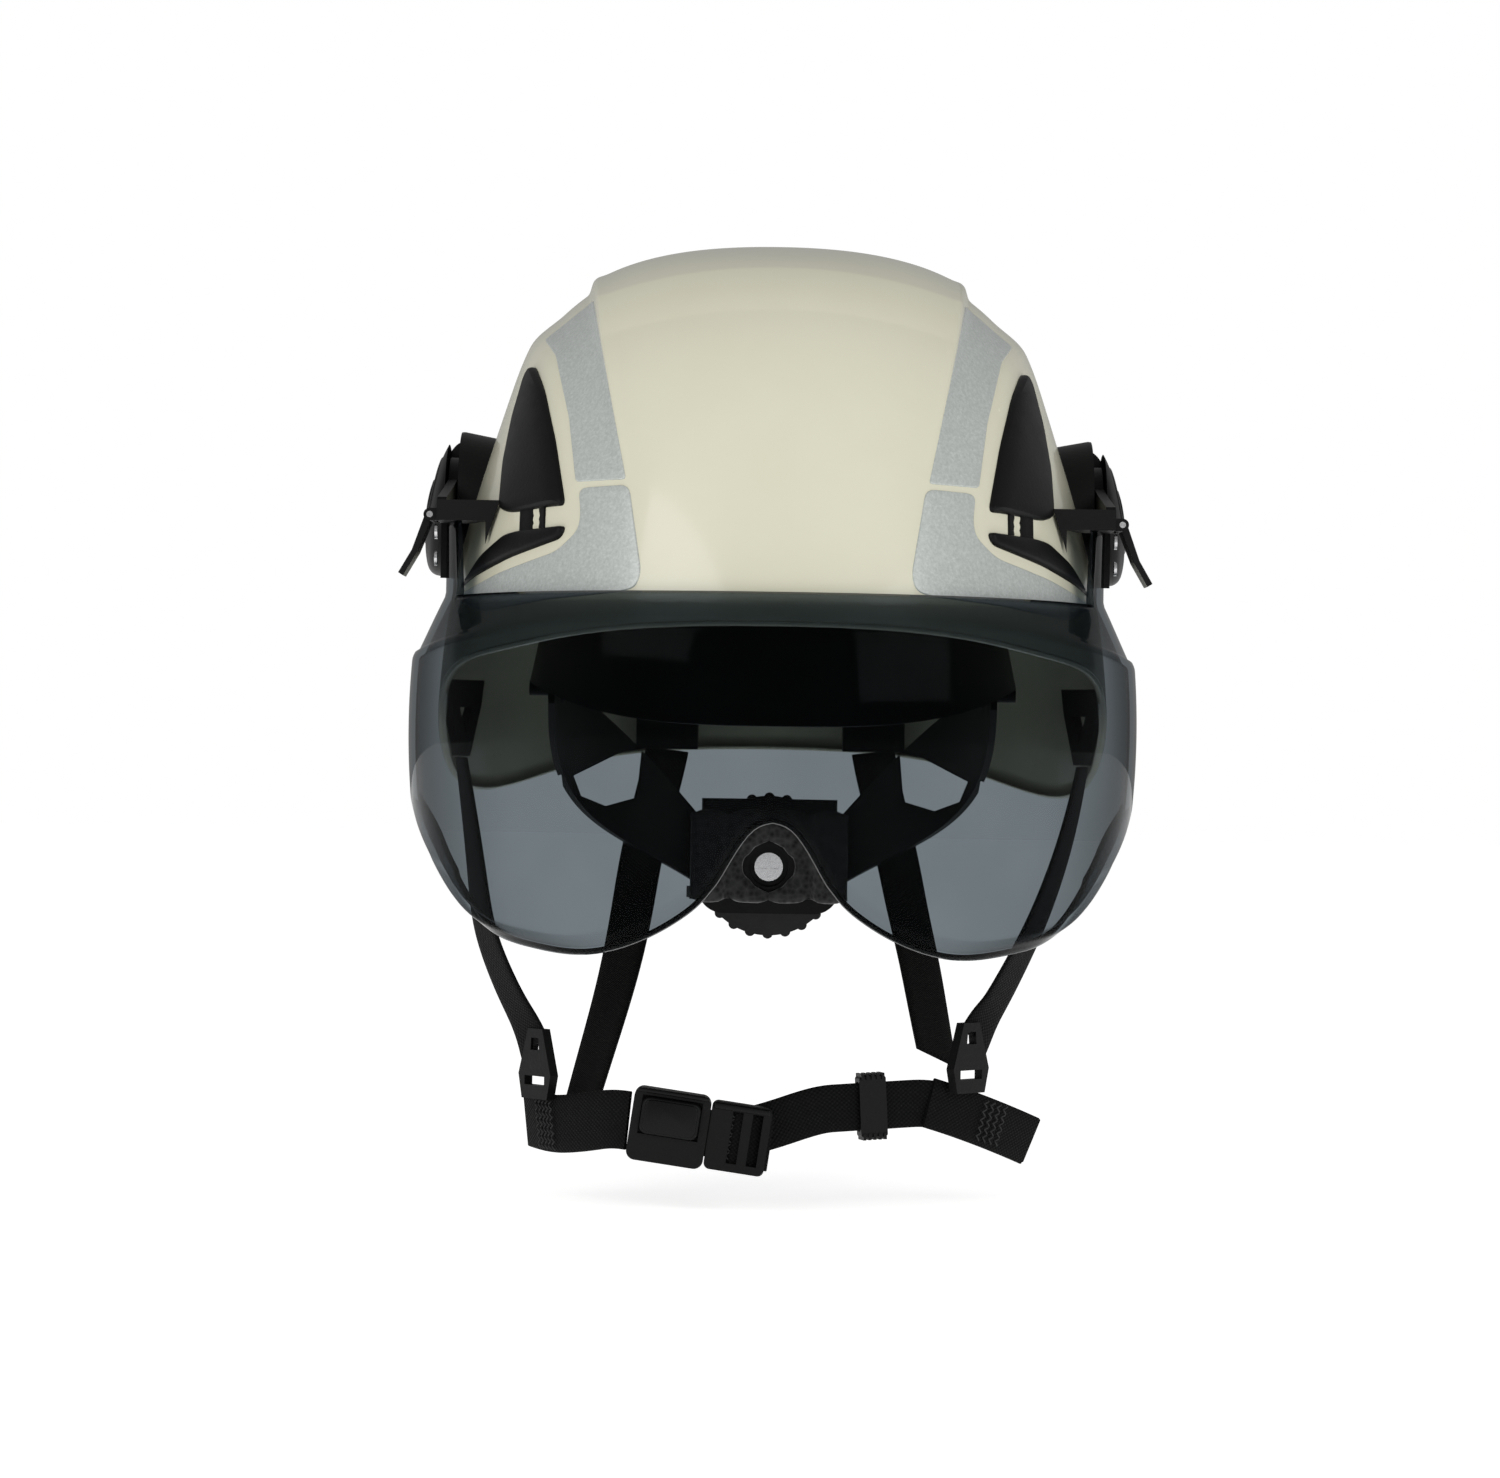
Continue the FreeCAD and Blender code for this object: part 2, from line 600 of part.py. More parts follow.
def build_lever_lugs():
    """Two ears on the arm that carry the lever's pin."""
    lugs = []
    for y in (LEVER_Y0 - LUG_WIDTH - FIT_GAP, LEVER_Y0 + LEVER_WIDTH + FIT_GAP):
        lug = block(RING_OUT, LEVER_X, y, y + LUG_WIDTH, LEVER_Z - LEVER_BARREL, LEVER_Z + LEVER_BARREL)
        lug = lug.fuse(cylinder(LEVER_BARREL, V(LEVER_X, y, LEVER_Z), V(0, 1, 0), LUG_WIDTH))
        bore = cylinder(LEVER_PIN_RADIUS, V(LEVER_X, y - 1, LEVER_Z), V(0, 1, 0), LUG_WIDTH + 2)
        lugs.append(lug.cut(bore))
    return lugs


def build_lever():
    barrel = cylinder(LEVER_BARREL, V(LEVER_X, LEVER_Y0, LEVER_Z), V(0, 1, 0), LEVER_WIDTH)
    waist = LEVER_Z - LEVER_LENGTH * 0.6
    blade = ((LEVER_X - 0.8, LEVER_Z), (LEVER_X + 1.6, LEVER_Z), (LEVER_X + 1.5, waist),
             (LEVER_X + 3.0, LEVER_Z - LEVER_LENGTH), (LEVER_X + 1.2, LEVER_Z - LEVER_LENGTH - 0.4),
             (LEVER_X - 0.4, waist))
    lever = prism_along_y(blade, LEVER_Y0, LEVER_Y0 + LEVER_WIDTH).fuse(barrel)
    hole = cylinder(LEVER_PIN_RADIUS + RUNNING_GAP, V(LEVER_X, LEVER_Y0 - 1, LEVER_Z), V(0, 1, 0),
                    LEVER_WIDTH + 2)
    lever = lever.cut(hole)
    lever.rotate(V(LEVER_X, 0, LEVER_Z), V(0, 1, 0), -LEVER_SPLAY)
    return lever


def build_lever_pin():
    reach = LUG_WIDTH + FIT_GAP
    start = V(LEVER_X, LEVER_Y0 - reach, LEVER_Z)
    return cylinder(LEVER_PIN_RADIUS, start, V(0, 1, 0), LEVER_WIDTH + 2 * reach)


ear_screws = build_arm_screws()
save("ear_screws", *ear_screws, *[mirrored(s) for s in ear_screws])
lever_lugs = build_lever_lugs()
save("lever_lugs", *lever_lugs, *[mirrored(s) for s in lever_lugs])
save_pair("lock_lever", build_lever())
lever_pin = build_lever_pin()
save("lever_pins", lever_pin, mirrored(lever_pin))


# ------------------------------------------------------------------ headband
def oval(angle, outwards=0.0):
    """A point of the headband's plan; the angle is from the front, towards the wearer's left."""
    side, ahead = sin(radians(angle)), cos(radians(angle))
    reach = HEAD_FRONT if ahead > 0 else HEAD_REAR
    x = (HEAD_HALF_WIDTH + outwards) * power_curve(side, HEAD_POWER)
    return x, -(reach + outwards) * power_curve(ahead, HEAD_POWER)


def oval_sheet(first, last, ribs, low, high, thickness, outwards=0.0, lean=0.0):
    """A strip round the head; low and high give its edges at each angle."""
    net = []
    for rib in range(ribs):
        angle = first + (last - first) * rib / (ribs - 1.0)
        x, y = oval(angle, outwards)
        x_top, y_top = oval(angle, outwards + lean)
        net.append([V(x, y, low(angle)), V(x_top, y_top, high(angle))])
    return sheet_solid(net, thickness)


BAND_END = 112.0          # plan angles where the band and its pad stop
BROW_PAD_END = 72.0
BAND_LEAN = -3.0          # the band's top edge leans in


def band_low(angle):
    return BAND_LOW + 14.0 * abs(sin(radians(angle))) ** 3


def band_high(angle):
    return BAND_HIGH - 4.0 * abs(sin(radians(angle))) ** 3


def build_headband():
    band = oval_sheet(-BAND_END, BAND_END, 33, band_low, band_high, BAND_THICKNESS, lean=BAND_LEAN)
    return band.cut(cylinder(NAPE_PIVOT_RADIUS, V(-FAR, NAPE_PIVOT_Y, NAPE_PIVOT_Z), V(1, 0, 0), 2 * FAR))


def build_brow_pad():
    inwards = -BAND_THICKNESS / 2.0 - 2.0 * FIT_GAP - PAD_THICKNESS / 2.0
    return oval_sheet(-BROW_PAD_END, BROW_PAD_END, 21, lambda a: band_low(a) + 1.5,
                      lambda a: band_high(a) - 1.5, PAD_THICKNESS, outwards=inwards, lean=BAND_LEAN)


save("headband", build_headband())
save("brow_pad", build_brow_pad())

# ------------------------------------------------------------------ crown suspension
STRAP_INSET = -(WALL + 2.0 * FIT_GAP + LINER_THICKNESS + 2.0)
CROWN_ANGLES = (36.0, 90.0, 144.0)
KEY_Z = 26.0
KEY_REACH = 11.0


STRAP_SHARES = (0.341, 0.465, 0.589, 0.698, 0.775, 0.83)      # of the crown's height


def crown_strap(angle):
    """Webbing from a key up under the liner to the crown pad."""
    centres, widths = [], []
    for height in [KEY_Z + 3.0] + [share * CROWN_HEIGHT for share in STRAP_SHARES]:
        point = on_dome(angle, height, STRAP_INSET)
        beside = on_dome(angle + 4.0, height, STRAP_INSET)
        centres.append(point)
        widths.append(V(beside.x - point.x, beside.y - point.y, 0))
    radius = hypot(centres[-1].x, centres[-1].y)
    inner = CROWN_PAD_RADIUS - 4.0
    last = centres[-1]
    centres.append(V(last.x * inner / radius, last.y * inner / radius, last.z + 2.2))
    widths.append(widths[-1])
    return strap(centres, widths, CROWN_WEB_WIDTH, WEB_THICKNESS)


def suspension_key(angle):
    """A block on the shell's inside that a crown strap and a hanger slot into."""
    wall = on_dome(angle, KEY_Z, -WALL)
    tip = on_dome(angle, KEY_Z, STRAP_INSET + WEB_THICKNESS)
    direction = V(tip.x - wall.x, tip.y - wall.y, 0)
    depth = direction.Length - FIT_GAP
    turn = degrees(atan2(direction.y, direction.x))
    key = block(-4.0, depth, -CROWN_WEB_WIDTH / 2.0 - 2, CROWN_WEB_WIDTH / 2.0 + 2, -9.0, 9.0)
    key.Placement = FreeCAD.Placement(V(wall.x, wall.y, KEY_Z - 7.0), FreeCAD.Rotation(V(0, 0, 1), turn))
    return max(key.common(dome_solid(-WALL)).Solids, key=lambda s: s.Volume)


crown_straps, keys = [], []
for angle in CROWN_ANGLES:
    for piece, group in ((crown_strap(angle), crown_straps), (suspension_key(angle), keys)):
        group.append(piece)
        group.append(mirrored(piece))
save("crown_straps", *crown_straps)
save("suspension_keys", *keys)


def build_crown_pad():
    top = on_dome(90.0, STRAP_SHARES[-1] * CROWN_HEIGHT, STRAP_INSET).z + 1.0
    pad = cylinder(CROWN_PAD_RADIUS, V(0, 0, top - 5.0), V(0, 0, 1), 4.6)
    return pad.makeFillet(1.5, pad.Edges[:1])


save("crown_pad", build_crown_pad())

# ------------------------------------------------------------------ nape fitting
WING_FRONT = 84.0         # plan angles from the front
WING_REAR = 163.0
WING_THICKNESS = 2.2
WING_OUTWARDS = -6.5      # the wings run inside the headband's plan
WING_WINDOWS = (((45, -38), (46.5, -55), (57, -58), (65, -54.5), (67.5, -47.5), (52.5, -39.5)),
                ((70, -62), (73, -58), (74, -48), (71, -47)))


def wing_middle(angle):
    """Height of the wing's centre line; it drops from the side pivot to the nape."""
    share = (angle - WING_FRONT) / (WING_REAR - WING_FRONT)
    return NAPE_PIVOT_Z + 4.0 - 46.0 * share ** 0.75 - 14.0 * share ** 4


def wing_half_height(angle):
    share = (angle - WING_FRONT) / (WING_REAR - WING_FRONT)
    return 7.5 + 10.5 * sin(pi * min(share * 0.9 + 0.05, 1.0)) + 2.5 * share


def build_wing():
    wing = oval_sheet(WING_FRONT, WING_REAR, 15, lambda a: wing_middle(a) - wing_half_height(a),
                      lambda a: wing_middle(a) + wing_half_height(a), WING_THICKNESS,
                      outwards=WING_OUTWARDS)
    for window in WING_WINDOWS:
        wing = wing.cut(prism_along_y(window, 0, FAR))
    x = oval(WING_FRONT + 6, WING_OUTWARDS)[0]
    hole = cylinder(NAPE_PIVOT_RADIUS + RUNNING_GAP, V(x - 10, NAPE_PIVOT_Y, NAPE_PIVOT_Z), V(1, 0, 0), 20)
    return wing.cut(hole)


def build_nape_pivot():
    """A stud through the headband's tail and the wing's front end."""
    x_in = oval(90, WING_OUTWARDS)[0] - WING_THICKNESS - 0.5
    x_out = oval(90)[0] + BAND_THICKNESS / 2.0 + 0.4
    y, z = NAPE_PIVOT_Y, NAPE_PIVOT_Z
    stud = cylinder(NAPE_PIVOT_RADIUS, V(x_in, y, z), V(1, 0, 0), x_out - x_in)
    head = cylinder(NAPE_PIVOT_RADIUS + 2.5, V(x_in - 1.2, y, z), V(1, 0, 0), 1.2)
    return stud.fuse(head)


HOUSING_FRONT = HEAD_REAR + WING_OUTWARDS + WING_THICKNESS / 2.0 + FIT_GAP
HOUSING_BACK = HOUSING_FRONT + HOUSING_DEPTH


def housing_shell(y0, y1, spread):
    """A rounded plate of the housing's outline, drawn out by spread."""
    width = 2 * (HOUSING_HALF_WIDTH + spread)
    height = 2 * (HOUSING_HALF_HEIGHT + spread)
    plate = rounded_block(width, y1 - y0, height, 9.0 + spread)
    plate.translate(V(0, (y0 + y1) / 2.0, KNOB_Z))
    return plate


def build_housing():
    """The back half: a tray with side windows for the racks and a bearing for the shaft."""
    tray = housing_shell(HOUSING_FRONT + HOUSING_WALL + 0.1, HOUSING_BACK, 0.0)
    tray = tray.cut(housing_shell(HOUSING_FRONT, HOUSING_BACK - HOUSING_WALL, -HOUSING_WALL))
    window = block(-FAR, FAR, RACK_Y - 6.6, RACK_Y + 2.2, KNOB_Z - RACK_TOP - 0.5, KNOB_Z + RACK_TOP + 0.5)
    tray = tray.cut(window)
    return tray.cut(cylinder(SHAFT_RADIUS + RUNNING_GAP, V(0, HOUSING_FRONT, KNOB_Z), V(0, 1, 0), FAR))


def build_housing_cover():
    """The front half, next to the head, with a recess for the screw's head."""
    cover = housing_shell(HOUSING_FRONT, HOUSING_FRONT + HOUSING_WALL, 0.0)
    return cover.cut(cylinder(SCREW_RADIUS + FIT_GAP, V(0, HOUSING_FRONT - 5, KNOB_Z), V(0, 1, 0), 20))


PITCH_RADIUS = PINION_TEETH * GEAR_MODULE / 2.0
RACK_Y = HOUSING_FRONT + 9.0
RACK_THICKNESS = 3.2
RACK_SPAN = (-15.0, 2.0, 20.0)   # plan angles of its end, its middle and its end beside the wing
RACK_CENTRE_Y = RACK_Y - RACK_RADIUS
RACK_ROOT = PITCH_RADIUS + 1.25 * GEAR_MODULE
RACK_TOP = RACK_ROOT + RACK_BACK
TOOTH_PITCH = pi * GEAR_MODULE
TOOTH_SLOPE = 0.364       # tangent of the 20 degree pressure angle


def tooth_outline(height_out, height_in, half_at_pitch):
    """A tooth's corners as (along, out) from its pitch line; it narrows as it goes out."""
    foot, tip = half_at_pitch + height_in * TOOTH_SLOPE, half_at_pitch - height_out * TOOTH_SLOPE
    return ((-foot, -height_in), (foot, -height_in), (tip, height_out), (-tip, height_out))


TOOTH_HALF = TOOTH_PITCH / 4.0 - TOOTH_BACKLASH / 2.0


def build_pinion():
    gear = cylinder(PITCH_RADIUS - 1.25 * GEAR_MODULE, V(0, RACK_Y - 2.0, KNOB_Z), V(0, 1, 0), 4.0)
    for tooth in range(PINION_TEETH):
        corners = tooth_outline(0.9 * GEAR_MODULE, 1.6 * GEAR_MODULE, TOOTH_HALF * 0.9)
        prism = prism_along_y([(a, PITCH_RADIUS + h) for a, h in corners], RACK_Y - 2.0, RACK_Y + 2.0)
        prism.translate(V(0, 0, KNOB_Z))
        prism.rotate(V(0, 0, KNOB_Z), V(0, 1, 0), 360.0 * tooth / PINION_TEETH)
        gear = gear.fuse(prism)
    shaft_hole = cylinder(SHAFT_RADIUS - 1.0, V(0, RACK_Y - 5, KNOB_Z), V(0, 1, 0), 10)
    return gear.removeSplitter().cut(shaft_hole)


def build_rack():
    """The left wing's rack: an arc over the pinion with teeth that point down."""
    middle = V(0, RACK_CENTRE_Y, 0)
    ring = cylinder(RACK_RADIUS + RACK_THICKNESS / 2.0, middle, V(0, 0, 1), RACK_BACK)
    ring = ring.cut(cylinder(RACK_RADIUS - RACK_THICKNESS / 2.0, middle, V(0, 0, 1), RACK_BACK))
    beyond = 2 * RACK_RADIUS
    wedge = [middle] + [middle + V(beyond * sin(radians(a)), beyond * cos(radians(a)), 0) for a in RACK_SPAN]
    rack = ring.common(Part.Face(Part.makePolygon(wedge + wedge[:1])).extrude(V(0, 0, RACK_BACK)))
    rack.translate(V(0, 0, KNOB_Z + RACK_ROOT))
    step = degrees(TOOTH_PITCH / RACK_RADIUS)
    corners = tooth_outline(0.8 * GEAR_MODULE, 1.3 * GEAR_MODULE, TOOTH_HALF * 0.9)
    for tooth in range(-4, 5):
        prism = prism_along_y([(a, -h) for a, h in corners], RACK_Y - 1.4, RACK_Y + 1.4)
        prism.translate(V(0, 0, KNOB_Z + PITCH_RADIUS))
        prism.rotate(V(0, RACK_CENTRE_Y, 0), V(0, 0, 1), (tooth + 0.5) * step)
        rack = rack.fuse(prism)
    return rack


def build_knob():
    """A ribbed dial with a shaft that carries the pinion and takes the screw."""
    y0 = HOUSING_BACK + FIT_GAP
    dial = cylinder(KNOB_RADIUS - 1.2, V(0, y0, KNOB_Z), V(0, 1, 0), KNOB_DEPTH)
    rim = [e for e in dial.Edges if e.isClosed() and e.BoundBox.YMax > y0 + KNOB_DEPTH - 0.1]
    dial = dial.makeFillet(2.5, rim)
    for rib in range(KNOB_RIBS):
        ridge = cylinder(KNOB_RIB_RADIUS, V(0, y0 + 1.0, KNOB_Z + KNOB_RADIUS - KNOB_RIB_RADIUS), V(0, 1, 0),
                         KNOB_DEPTH - 4.5)
        ridge.rotate(V(0, 0, KNOB_Z), V(0, 1, 0), 360.0 * rib / KNOB_RIBS)
        dial = dial.fuse(ridge)
    recess_floor = y0 + KNOB_DEPTH - KNOB_RECESS
    dial = dial.cut(cylinder(KNOB_RADIUS - 7.0, V(0, recess_floor, KNOB_Z), V(0, 1, 0), 10))
    shaft = cylinder(SHAFT_RADIUS, V(0, RACK_Y + 2.1, KNOB_Z), V(0, 1, 0), y0 + 1 - RACK_Y - 2.1)
    core = cylinder(SHAFT_RADIUS - 1.0, V(0, RACK_Y - 2.0, KNOB_Z), V(0, 1, 0), 6)
    return dial.fuse(shaft).fuse(core)


def build_knob_screw():
    head_back = HOUSING_FRONT + 1.8
    head = cylinder(SCREW_RADIUS, V(0, HOUSING_FRONT + 0.2, KNOB_Z), V(0, 1, 0), 1.6)
    drive = cylinder(SCREW_RADIUS - 1.4, V(0, HOUSING_FRONT - 1, KNOB_Z), V(0, 1, 0), 1.9)
    for half_x, half_z in ((SCREW_RADIUS, DRIVE_SLOT / 2.0), (DRIVE_SLOT / 2.0, SCREW_RADIUS)):
        slot = block(-half_x, half_x, HOUSING_FRONT - 1, HOUSING_FRONT + 1, KNOB_Z - half_z, KNOB_Z + half_z)
        head = head.cut(slot.common(drive))
    shank = cylinder(SHAFT_RADIUS - 1.4, V(0, head_back, KNOB_Z), V(0, 1, 0), RACK_Y - 2.0 - head_back)
    return head.fuse(shank)


def build_detent_spring():
    """A bent leaf in the housing that clicks on the dial's shaft."""
    y0, y1 = RACK_Y + 2.0 + FIT_GAP, HOUSING_BACK - HOUSING_WALL
    leaf = block(-13, 13, y0, y1, KNOB_Z - 6.2, KNOB_Z - 5.6)
    foot = block(-13, -12.4, y0, y1, KNOB_Z - 9.0, KNOB_Z - 5.7)
    return leaf.fuse(foot).fuse(mirrored(foot))


def build_nape_pad():
    inwards = WING_OUTWARDS - WING_THICKNESS / 2.0 - 2.0 * FIT_GAP - PAD_THICKNESS / 2.0
    pad = oval_sheet(157.0, 203.0, 9, lambda a: KNOB_Z - 14.5, lambda a: KNOB_Z + 22.5, PAD_THICKNESS,
                     outwards=inwards)
    return pad.cut(cylinder(SCREW_RADIUS + 2.0, V(0, 0, KNOB_Z), V(0, 1, 0), FAR))


def build_wing_bridge():
    """The moulded arch that joins the two wings in front of the housing."""
    first = WING_REAR + 0.4
    bridge = oval_sheet(first, 360.0 - first, 7, lambda a: KNOB_Z - 12.0, lambda a: KNOB_Z + 24.0,
                        WING_THICKNESS, outwards=WING_OUTWARDS)
    return bridge.cut(cylinder(SCREW_RADIUS + 2.0, V(0, 0, KNOB_Z), V(0, 1, 0), FAR))


wing = build_wing()
save_pair("nape_wing", wing)
nape_pivot = build_nape_pivot()
save("nape_pivots", nape_pivot, mirrored(nape_pivot))
save("ratchet_housing", build_housing())
save("ratchet_cover", build_housing_cover())
save("ratchet_knob", build_knob())
save("knob_pinion", build_pinion())
save("knob_screw", build_knob_screw())
save("detent_spring", build_detent_spring())
rack = build_rack()
save("rack_left", rack)
rack_right = rack.copy()
rack_right.rotate(V(0, 0, KNOB_Z), V(0, 1, 0), 180.0)
save("rack_right", rack_right)
save("nape_bridge", build_wing_bridge())
save("nape_pad", build_nape_pad())

# ------------------------------------------------------------------ strap anchors and straps
FRONT_ANCHOR_Y = -20.0
FRONT_ANCHOR = ((-13, 0), (13, 0), (11, -8), (3.5, -25), (-3.5, -25), (-11, -8))
FRONT_ANCHOR_HOLE = ((-4.5, -9), (4.5, -9), (0, -18))
REAR_ANCHOR_X = 37.0


def build_front_anchor():
    """A plate on the shell's inside, its loop below, turned a little towards the front."""
    top = side_at(FRONT_ANCHOR_Y, -14.0) - WALL - 4.5
    plate = prism_along_x(FRONT_ANCHOR, -1.5, 1.5)
    plate = plate.cut(prism_along_x(FRONT_ANCHOR_HOLE, -3, 3))
    stud = cylinder(3.0, V(1.4, 0, -4.0), V(1, 0, 0), 8.0)
    anchor = plate.fuse(stud)
    anchor.rotate(V(0, 0, 0), V(0, 0, 1), 24.0)
    anchor.translate(V(top, FRONT_ANCHOR_Y, -16.0))
    return max(anchor.common(dome_solid(-WALL)).Solids, key=lambda s: s.Volume)


def build_rear_anchor():
    back = end_at(REAR_ANCHOR_X, -36.0, False) - WALL
    anchor = block(REAR_ANCHOR_X - 11, REAR_ANCHOR_X + 11, back - 14.0, back + 4, -38.0, -24.0)
    anchor = anchor.common(dome_solid(-WALL))
    slot = block(REAR_ANCHOR_X - 8.5, REAR_ANCHOR_X + 8.5, back - 11.5, back - 7.5, -60, 0)
    return max(anchor.cut(slot).Solids, key=lambda s: s.Volume)


save_pair("front_anchor", build_front_anchor())
save_pair("rear_anchor", build_rear_anchor())

ANCHOR_X = side_at(FRONT_ANCHOR_Y, -14.0) - WALL - 4.5
REAR_ANCHOR_Y = end_at(REAR_ANCHOR_X, -36.0, False) - WALL - 9.5
FRONT_WEB_TOP = -41.5
REAR_WEB_TOP = -38.5
FRONT_WEB_RIGHT = ((ANCHOR_X, -20, FRONT_WEB_TOP), (ANCHOR_X - 3, -19, -60), (96, -18, -84),
                   (94, -17, -100), (84, -19, -122), (78.9, -21.2, -129.6))
FRONT_WEB_LEFT = ((ANCHOR_X, -20, FRONT_WEB_TOP), (ANCHOR_X - 3, -19, -60), (92, -19, -84), (84, -20, -102),
                  (74, -23, -121), (70.9, -25, -125.1))
REAR_WEB_RIGHT = ((REAR_ANCHOR_X, REAR_ANCHOR_Y, REAR_WEB_TOP), (39, REAR_ANCHOR_Y - 8, -50),
                  (44.5, 98, -70), (47, 68, -93), (50, 38, -112), (54, 12, -129), (58, -12, -144),
                  (61, -30, -156))
REAR_WEB_LEFT = ((REAR_ANCHOR_X, REAR_ANCHOR_Y, REAR_WEB_TOP), (39, REAR_ANCHOR_Y - 8, -50),
                 (44.5, 98, -70), (48, 68, -92), (52, 38, -110), (54, 12, -125), (56, -12, -138))


def route(points, side):
    """Webbing routes are written at +X; side -1 puts one on the wearer's right."""
    return [V(side * x, y, z) for x, y, z in points]


def build_front_web(points, side):
    centres = route(points, side)
    last = len(centres) - 1.0
    widths = [V(side * (0.25 + 0.55 * k / last), 1, 0) for k in range(len(centres))]
    return strap(centres, widths, WEB_WIDTH, WEB_THICKNESS)


def build_rear_web(points, side):
    centres = route(points, side)
    widths = [V(1, side * 0.1 * k, -0.06 * side * k) for k in range(len(centres))]
    return strap(centres, widths, WEB_WIDTH, WEB_THICKNESS)


save("front_web_left", build_front_web(FRONT_WEB_LEFT, 1))
save("front_web_right", build_front_web(FRONT_WEB_RIGHT, -1))
save("rear_web_left", build_rear_web(REAR_WEB_LEFT, 1))
save("rear_web_right", build_rear_web(REAR_WEB_RIGHT, -1))

# ------------------------------------------------------------------ chin strap and buckle
BUCKLE_CENTRE = V(-31.5, -52.0, -159.5)
BUCKLE_TURN = FreeCAD.Rotation(V(0, 1, 0), BUCKLE_TILT)


def on_buckle(shape):
    """Put a piece drawn in the buckle's own frame (x along it, y through it, z across it) in place."""
    placed = shape.copy()
    placed.Placement = FreeCAD.Placement(BUCKLE_CENTRE, BUCKLE_TURN).multiply(placed.Placement)
    return placed


def buckle_point(x, y, z):
    return BUCKLE_CENTRE + BUCKLE_TURN.multVec(V(x, y, z))


HALF_LENGTH = BUCKLE_LENGTH / 2.0
BUTTON_Z = BUCKLE_HEIGHT / 2.0 - BUTTON_HEIGHT / 2.0 - 2.6
FACE_Y = -BUCKLE_THICKNESS / 2.0
CHIN_WEB_Y = 3.3          # the free webbing runs behind the slider
CHIN_WEB_WIDTH = 19.0     # the wider webbing between the buckle and its divider


def build_buckle_body():
    body = rounded_block(BUCKLE_LENGTH, BUCKLE_THICKNESS, BUCKLE_HEIGHT, 3.0)
    half_thick, half_high = TONGUE_THICKNESS / 2.0 + FIT_GAP, TONGUE_HEIGHT / 2.0 + FIT_GAP
    tongue_room = block(HALF_LENGTH - TONGUE_LENGTH - 1.5, HALF_LENGTH + 1, -half_thick, half_thick,
                        -half_high, half_high)
    half_long, half_high = BUTTON_LENGTH / 2.0 + FIT_GAP, BUTTON_HEIGHT / 2.0 + FIT_GAP
    well = block(-half_long, half_long, FACE_Y - 1, -TONGUE_THICKNESS / 2.0 - 0.2,
                 BUTTON_Z - half_high, BUTTON_Z + half_high)
    return body.cut(tongue_room).cut(well)


def build_button():
    back = -TONGUE_THICKNESS / 2.0 - 0.2 - FIT_GAP - BUTTON_TRAVEL
    depth = back - (FACE_Y - BUTTON_PROUD)
    button = rounded_block(BUTTON_LENGTH, depth, BUTTON_HEIGHT, 2.5)
    button.translate(V(0, back - depth / 2.0, BUTTON_Z))
    front_edges = [e for e in button.Edges if e.BoundBox.YMax < FACE_Y - BUTTON_PROUD + 0.05]
    return button.makeFillet(0.9, front_edges)


def build_slider():
    """The tongue and the ladder-bar slider that the free webbing threads."""
    x0 = HALF_LENGTH + 0.3
    frame = rounded_block(SLIDER_LENGTH, 5.6, BUCKLE_HEIGHT - 1.4, 2.0)
    frame.translate(V(x0 + SLIDER_LENGTH / 2.0, FACE_Y + 3.6, 0))
    for x in (x0 + 7.0, x0 + 13.5):
        frame = frame.cut(block(x, x + 3.4, -20, 20, -8.4, 8.4))
    tongue = block(x0 - TONGUE_LENGTH, x0 + 1, -TONGUE_THICKNESS / 2.0, TONGUE_THICKNESS / 2.0,
                   -TONGUE_HEIGHT / 2.0, TONGUE_HEIGHT / 2.0)
    tongue = tongue.cut(block(x0 - TONGUE_LENGTH - 1, x0 - 3, -5, 5, -2.0, 2.0))
    return frame.fuse(tongue)


save("buckle_body", on_buckle(build_buckle_body()))
save("buckle_button", on_buckle(build_button()))
save("buckle_slider", on_buckle(build_slider()))

CHIN_START = buckle_point(HALF_LENGTH + 3.0, CHIN_WEB_Y, 0)
KEEPER_CENTRE = V(34.0, -40.5, -152.6)
RUN = KEEPER_CENTRE - V(4.0, -48.6, -154.3)
RUN.normalize()


def build_chin_web_right():
    """From the buckle round to the right-hand divider, ending in a sewn fold."""
    end = buckle_point(-HALF_LENGTH - 0.8, 0, 0)
    centres = [V(-79, -12, -160.5), V(-72, -24, -161.5), V(-64, -34.5, -160.5), V(-55, -43.5, -158.5),
               end + V(-5, 3.0, 0.5), end]
    widths = [V(-0.18, 0.0, 1), V(-0.1, 0, 1)] + [V(0.0, 0, 1)] * 2 + [V(0.12, 0, 1)] * 2
    return strap(centres, widths, CHIN_WEB_WIDTH, WEB_THICKNESS)


def build_chin_web_left():
    """From behind the slider, straight through the keeper, to the left-hand divider."""
    straight = [KEEPER_CENTRE + RUN * s for s in (-20.0, -12.0, -4.0, 4.0, 12.0, 20.0)]
    centres = [CHIN_START, CHIN_START + V(9, 0.2, -0.6)] + straight + [
        V(64, -29, -155.0), V(76, -18, -160.0), V(88, -4, -166.0)]
    widths = [V(0.14, 0, 1), V(0.1, 0, 1)] + [V(0, 0, 1)] * 6 + [V(0.1, 0, 1), V(0.25, 0, 1), V(0.32, 0, 1)]
    return strap(centres, widths, WEB_WIDTH, WEB_THICKNESS)


